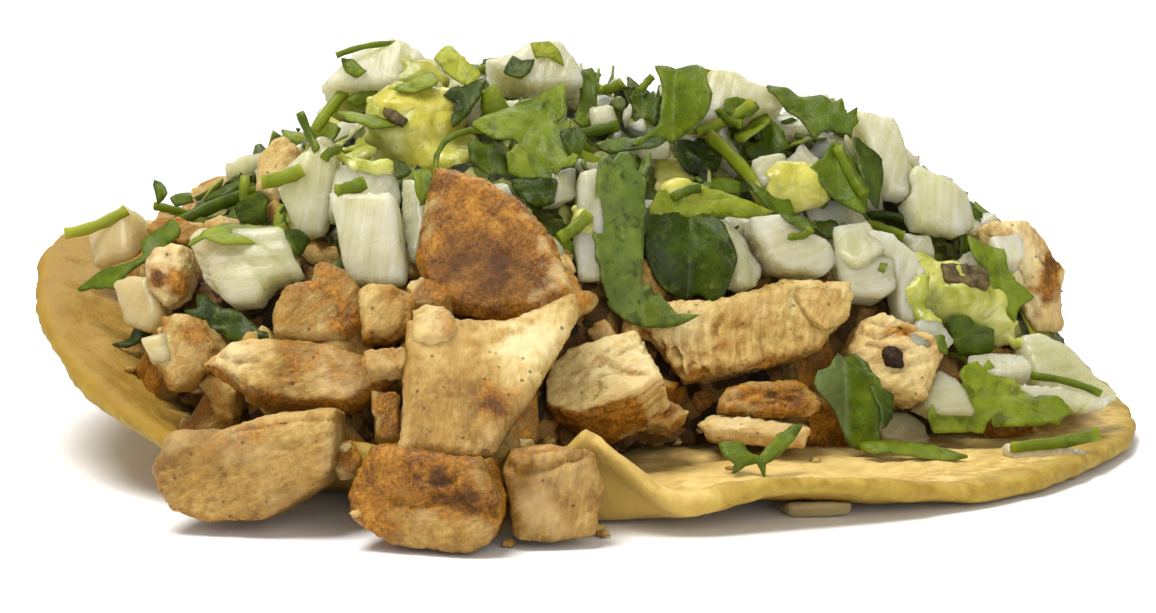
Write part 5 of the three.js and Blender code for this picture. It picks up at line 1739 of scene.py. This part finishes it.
def curled_stalk(pile):
    """The thin curled stalk beside the salsa."""
    place = lying_on(pile, CURLED_STALK, 0.8)
    path = [place @ Vector((*p, 0)) for p in outline_on(place, CURLED_STALK)]
    return settled(pile, stalk(path, 0.4, 0.62, SEEDS["curled stalk"]))


def pitted(shape, depth, scale, seed, tone):
    """Gives pepper or a peppercorn its uneven skin and its tone."""
    shape.points += shape.normals() * (depth * noise(shape.points * scale, seed))[:, None]
    shape.values = {"grain": shape.points.copy(), "tone": np.full(len(shape.points), tone)}
    return shape


def charred_bits(pile):
    """The strips of charred pepper and the peppercorns."""
    bits = []
    for k, (pixels, thick) in enumerate(CHARRED):
        strip = melted([laid_prism(pile, pixels, thick, 0.9)], *CHARRED_MESH)
        bits.append(pitted(strip, 0.15, 0.8, k, 1.0))
    corns = [ball(pile.seen(u, v), radius) for u, v, radius in PEPPERCORNS]
    bits.append(pitted(melted(corns, *PEPPERCORN_MESH), 0.3, 1.2, 3, 0.0))
    return bits


def crumbs_on(pile):
    """The crumbs of chicken, each on what the camera sees there or else on the table."""
    crumbs = []
    for k, (u, v, radius) in enumerate(CRUMBS):
        way = ray(u, v)
        hit = pile.seen(u, v)
        place = EYE - way * (EYE.z / way.z) if hit is None else hit - Vector((0, 0, 0.2))
        crumbs.append(crumb(place, radius, SEEDS["crumb"] + k))
    return crumbs


chicken = {
    name: meaty(refined(name, *CHICKEN_MESH), look, SEEDS["chicken"] + k)
    for k, (name, look) in enumerate(MEAT_LOOKS.items())
}
onion = {
    name: oniony(refined(name, *ONION_MESH), *ONION_GRAIN.get(name, OTHER_ONION),
                 SEEDS["onion"] + k)
    for k, name in enumerate(names_of("onion_"))
}
spoonfuls = {
    name: spoonful(name, SEEDS["salsa"] + k) for k, name in enumerate(names_of("salsa_"))
}
leaves = {
    name: node_leaf(row, SEEDS["leaf"] + k) for k, (name, row) in enumerate(LEAVES.items())
}
tortilla = dough()
filling = filling_core()
topping = core("topping_heap", voxel=0.8, soften=14, sink=0.8, relief=0.5)

named = [*chicken.values(), *onion.values(), *spoonfuls.values(), *leaves.values()]
pile = Pile()
pile.add([*named, tortilla, filling, topping])
stain(chicken.values(), pile, STAINS, "sear")
stain(chicken.values(), pile, PATCHES, "pale")
# The cracks are darkened through the browning value: painted shade.
crack(chicken.values(), pile, CRACKS, "sear")
crack(onion.values(), pile, NOTCHES, "edge")

meat_scraps = loose_meat(pile)
onion_scraps = loose_onion(pile)
pile.add([*meat_scraps, *onion_scraps])
sauce = thin_salsa(pile)
pile.add([sauce])
leaf_scraps = [
    laid_leaf(pile, row, SEEDS["leaf scrap"] + k) for k, row in enumerate(LEAF_SCRAPS)
]
stalks = [laid_stalk(pile, *row, SEEDS["stalk"] + k) for k, row in enumerate(STALKS)]
stalks.append(curled_stalk(pile))
charred = charred_bits(pile)
placed = [*meat_scraps, *onion_scraps, *leaf_scraps, *stalks, *charred, sauce]
pile.add([*leaf_scraps, *stalks, *charred])

larger = Pile()
larger.add([*named, *placed])
solids = Pile()
solids.add([solid_of(name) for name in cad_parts])


def open_sky(spot, normal):
    """True where no larger piece lies close over a place on a core."""
    spot, normal = Vector(spot), Vector(normal)
    if larger.tree.find_nearest(spot, 1.0)[0] is not None:
        return False
    return larger.tree.ray_cast(spot - normal * 0.5, normal, 5)[0] is None


def pixel_of(point):
    """The pixel of the picture at which the camera sees a point."""
    way = Vector(point) - EYE
    depth = way.dot(AHEAD)
    return (
        PICTURE[0] / 2 + FOCAL * way.x / depth,
        PICTURE[1] / 2 - FOCAL * way.dot(UPRIGHT) / depth,
    )


# Pieces beyond this Y are judged from behind, as an eye there sees them.
FAR_SIDE = 12
EYE_BEHIND = Vector((0, 450, 120))

# How far behind a small piece a larger one may lie that it would hide, in mm, and what share of
# a small piece may stand out past the solids.
HIDES_WITHIN = 9
OUTSIDE = 0.12

# Where the picture shows bare dough or salsa and so no small pieces, by pixel.
BARE = [
    [(30, 225), (88, 208), (92, 262), (118, 280), (130, 320), (150, 360), (190, 400), (215, 425),
     (150, 430), (60, 380), (25, 300)],
    [(368, 88), (450, 88), (458, 130), (446, 172), (396, 172), (392, 130)],
    [(600, 430), (700, 428), (860, 444), (1120, 440), (1140, 500), (600, 510)],
]

# Where the picture shows nothing at all beside the heap.
EMPTY = [(1036, 215), (1064, 250), (1062, 300), (1052, 336), (1066, 342), (1096, 372),
         (1156, 372), (1156, 200)]


def fits_in(bit):
    """True if a small piece neither hides a larger one nor stands out past the solids."""
    some = bit.points[:: max(len(bit.points) // 60, 1)]
    middle = bit.points.mean(0)
    in_front = middle[1] < FAR_SIDE
    bare = in_front and any(within(*pixel_of(middle), outline) for outline in BARE)
    if bare and not larger.covers(middle):
        return False
    if any(within(*pixel_of(point), EMPTY) for point in some):
        return False
    eye = EYE if in_front else EYE_BEHIND
    if any(larger.hidden_by(point, HIDES_WITHIN, eye) for point in some):
        return False
    out = sum(solids.tree.ray_cast(EYE, (Vector(p) - EYE).normalized())[0] is None for p in some)
    return out <= OUTSIDE * len(some)


def on_topping(spot, normal):
    """Whether a small piece of the topping may lie on a place."""
    return normal[2] > -0.2 and open_sky(spot, normal)


def on_filling(spot, normal):
    """Whether a small piece of chicken may lie on a place."""
    return normal[2] > -0.1 and spot[2] > 3 and open_sky(spot, normal)


def kinds(make, first, count):
    """Several small pieces of one sort, of which copies are laid."""
    return [make(SEEDS[first] + k) for k in range(count)]


crumbs = crumbs_on(pile)
taken = []
diced = scatter(
    kinds(onion_bit, "onion bit", 14), spots_on(topping, 900, 1, on_topping),
    seed=11, lift=1.1, tilt=0.3, crowd=0.5, taken=taken,
)
chopped = scatter(
    kinds(leaf_bit, "leaf bit", 24), spots_on(topping, 1300, 2, on_topping),
    seed=12, lift=1.5, tilt=0.35, crowd=0.22, taken=[],
)
cut_stalks = scatter(
    kinds(stem_bit, "stem bit", 8), spots_on(topping, 90, 3, on_topping),
    seed=13, lift=1.8, tilt=0.25, crowd=0.2, taken=[],
)
lumps = scatter(
    kinds(meat_bit, "meat bit", 12), spots_on(filling, 1800, 4, on_filling),
    seed=14, lift=0.8, tilt=0.4, crowd=0.42, taken=taken,
)

SLOTS = {"chicken": CHICKEN, "onion": ONION, "cilantro": LEAF, "salsa": SALSA}
for name, shape in {**chicken, **onion, **spoonfuls, **leaves}.items():
    slot = name.split("_")[0]
    piece("real_" + name, shape, SLOTS[slot], [name])
piece("tortilla_dough", tortilla, TORTILLA, ["tortilla"])
piece("filling_core", filling, MEAT, ["chicken_filling"])
piece("topping_core", largest_part(topping), GREENS, ["topping_heap"])
for name, shapes, slot, material in (
    ("chicken_scraps", meat_scraps, "chicken", CHICKEN),
    ("chicken_crumbs", crumbs, "chicken", CHICKEN),
    ("onion_scraps", onion_scraps, "onion", ONION),
    ("leaf_scraps", leaf_scraps, "cilantro", LEAF),
    ("stalks", stalks, "cilantro", LEAF),
    ("charred_pepper", charred, "topping", PEPPER),
    ("thin_salsa", [sauce], "salsa", SALSA),
    ("small_onion", diced, "onion", ONION),
    ("small_leaves", chopped, "cilantro", LEAF),
    ("small_stalks", cut_stalks, "cilantro", LEAF),
    ("small_chicken", lumps, "chicken", CHICKEN),
):
    piece(name, joined(shapes), material)

# ------------------------------------------------------------------ the floor


def make_floor():
    """The pale floor, which isn't part of the taco."""
    mesh = bpy.data.meshes.new("floor")
    reach = 4.0
    mesh.from_pydata(
        [(-reach, -reach, 0), (reach, -reach, 0), (reach, reach, 0), (-reach, reach, 0)],
        [],
        [(0, 1, 2, 3)],
    )
    g = Graph("floor", Roughness=0.9, Specular_IOR_Level=0.0)
    mesh.materials.append(g.finish((0.93, 0.93, 0.93, 1)))
    floor = bpy.data.objects.new("floor", mesh)
    scene.collection.objects.link(floor)


make_floor()
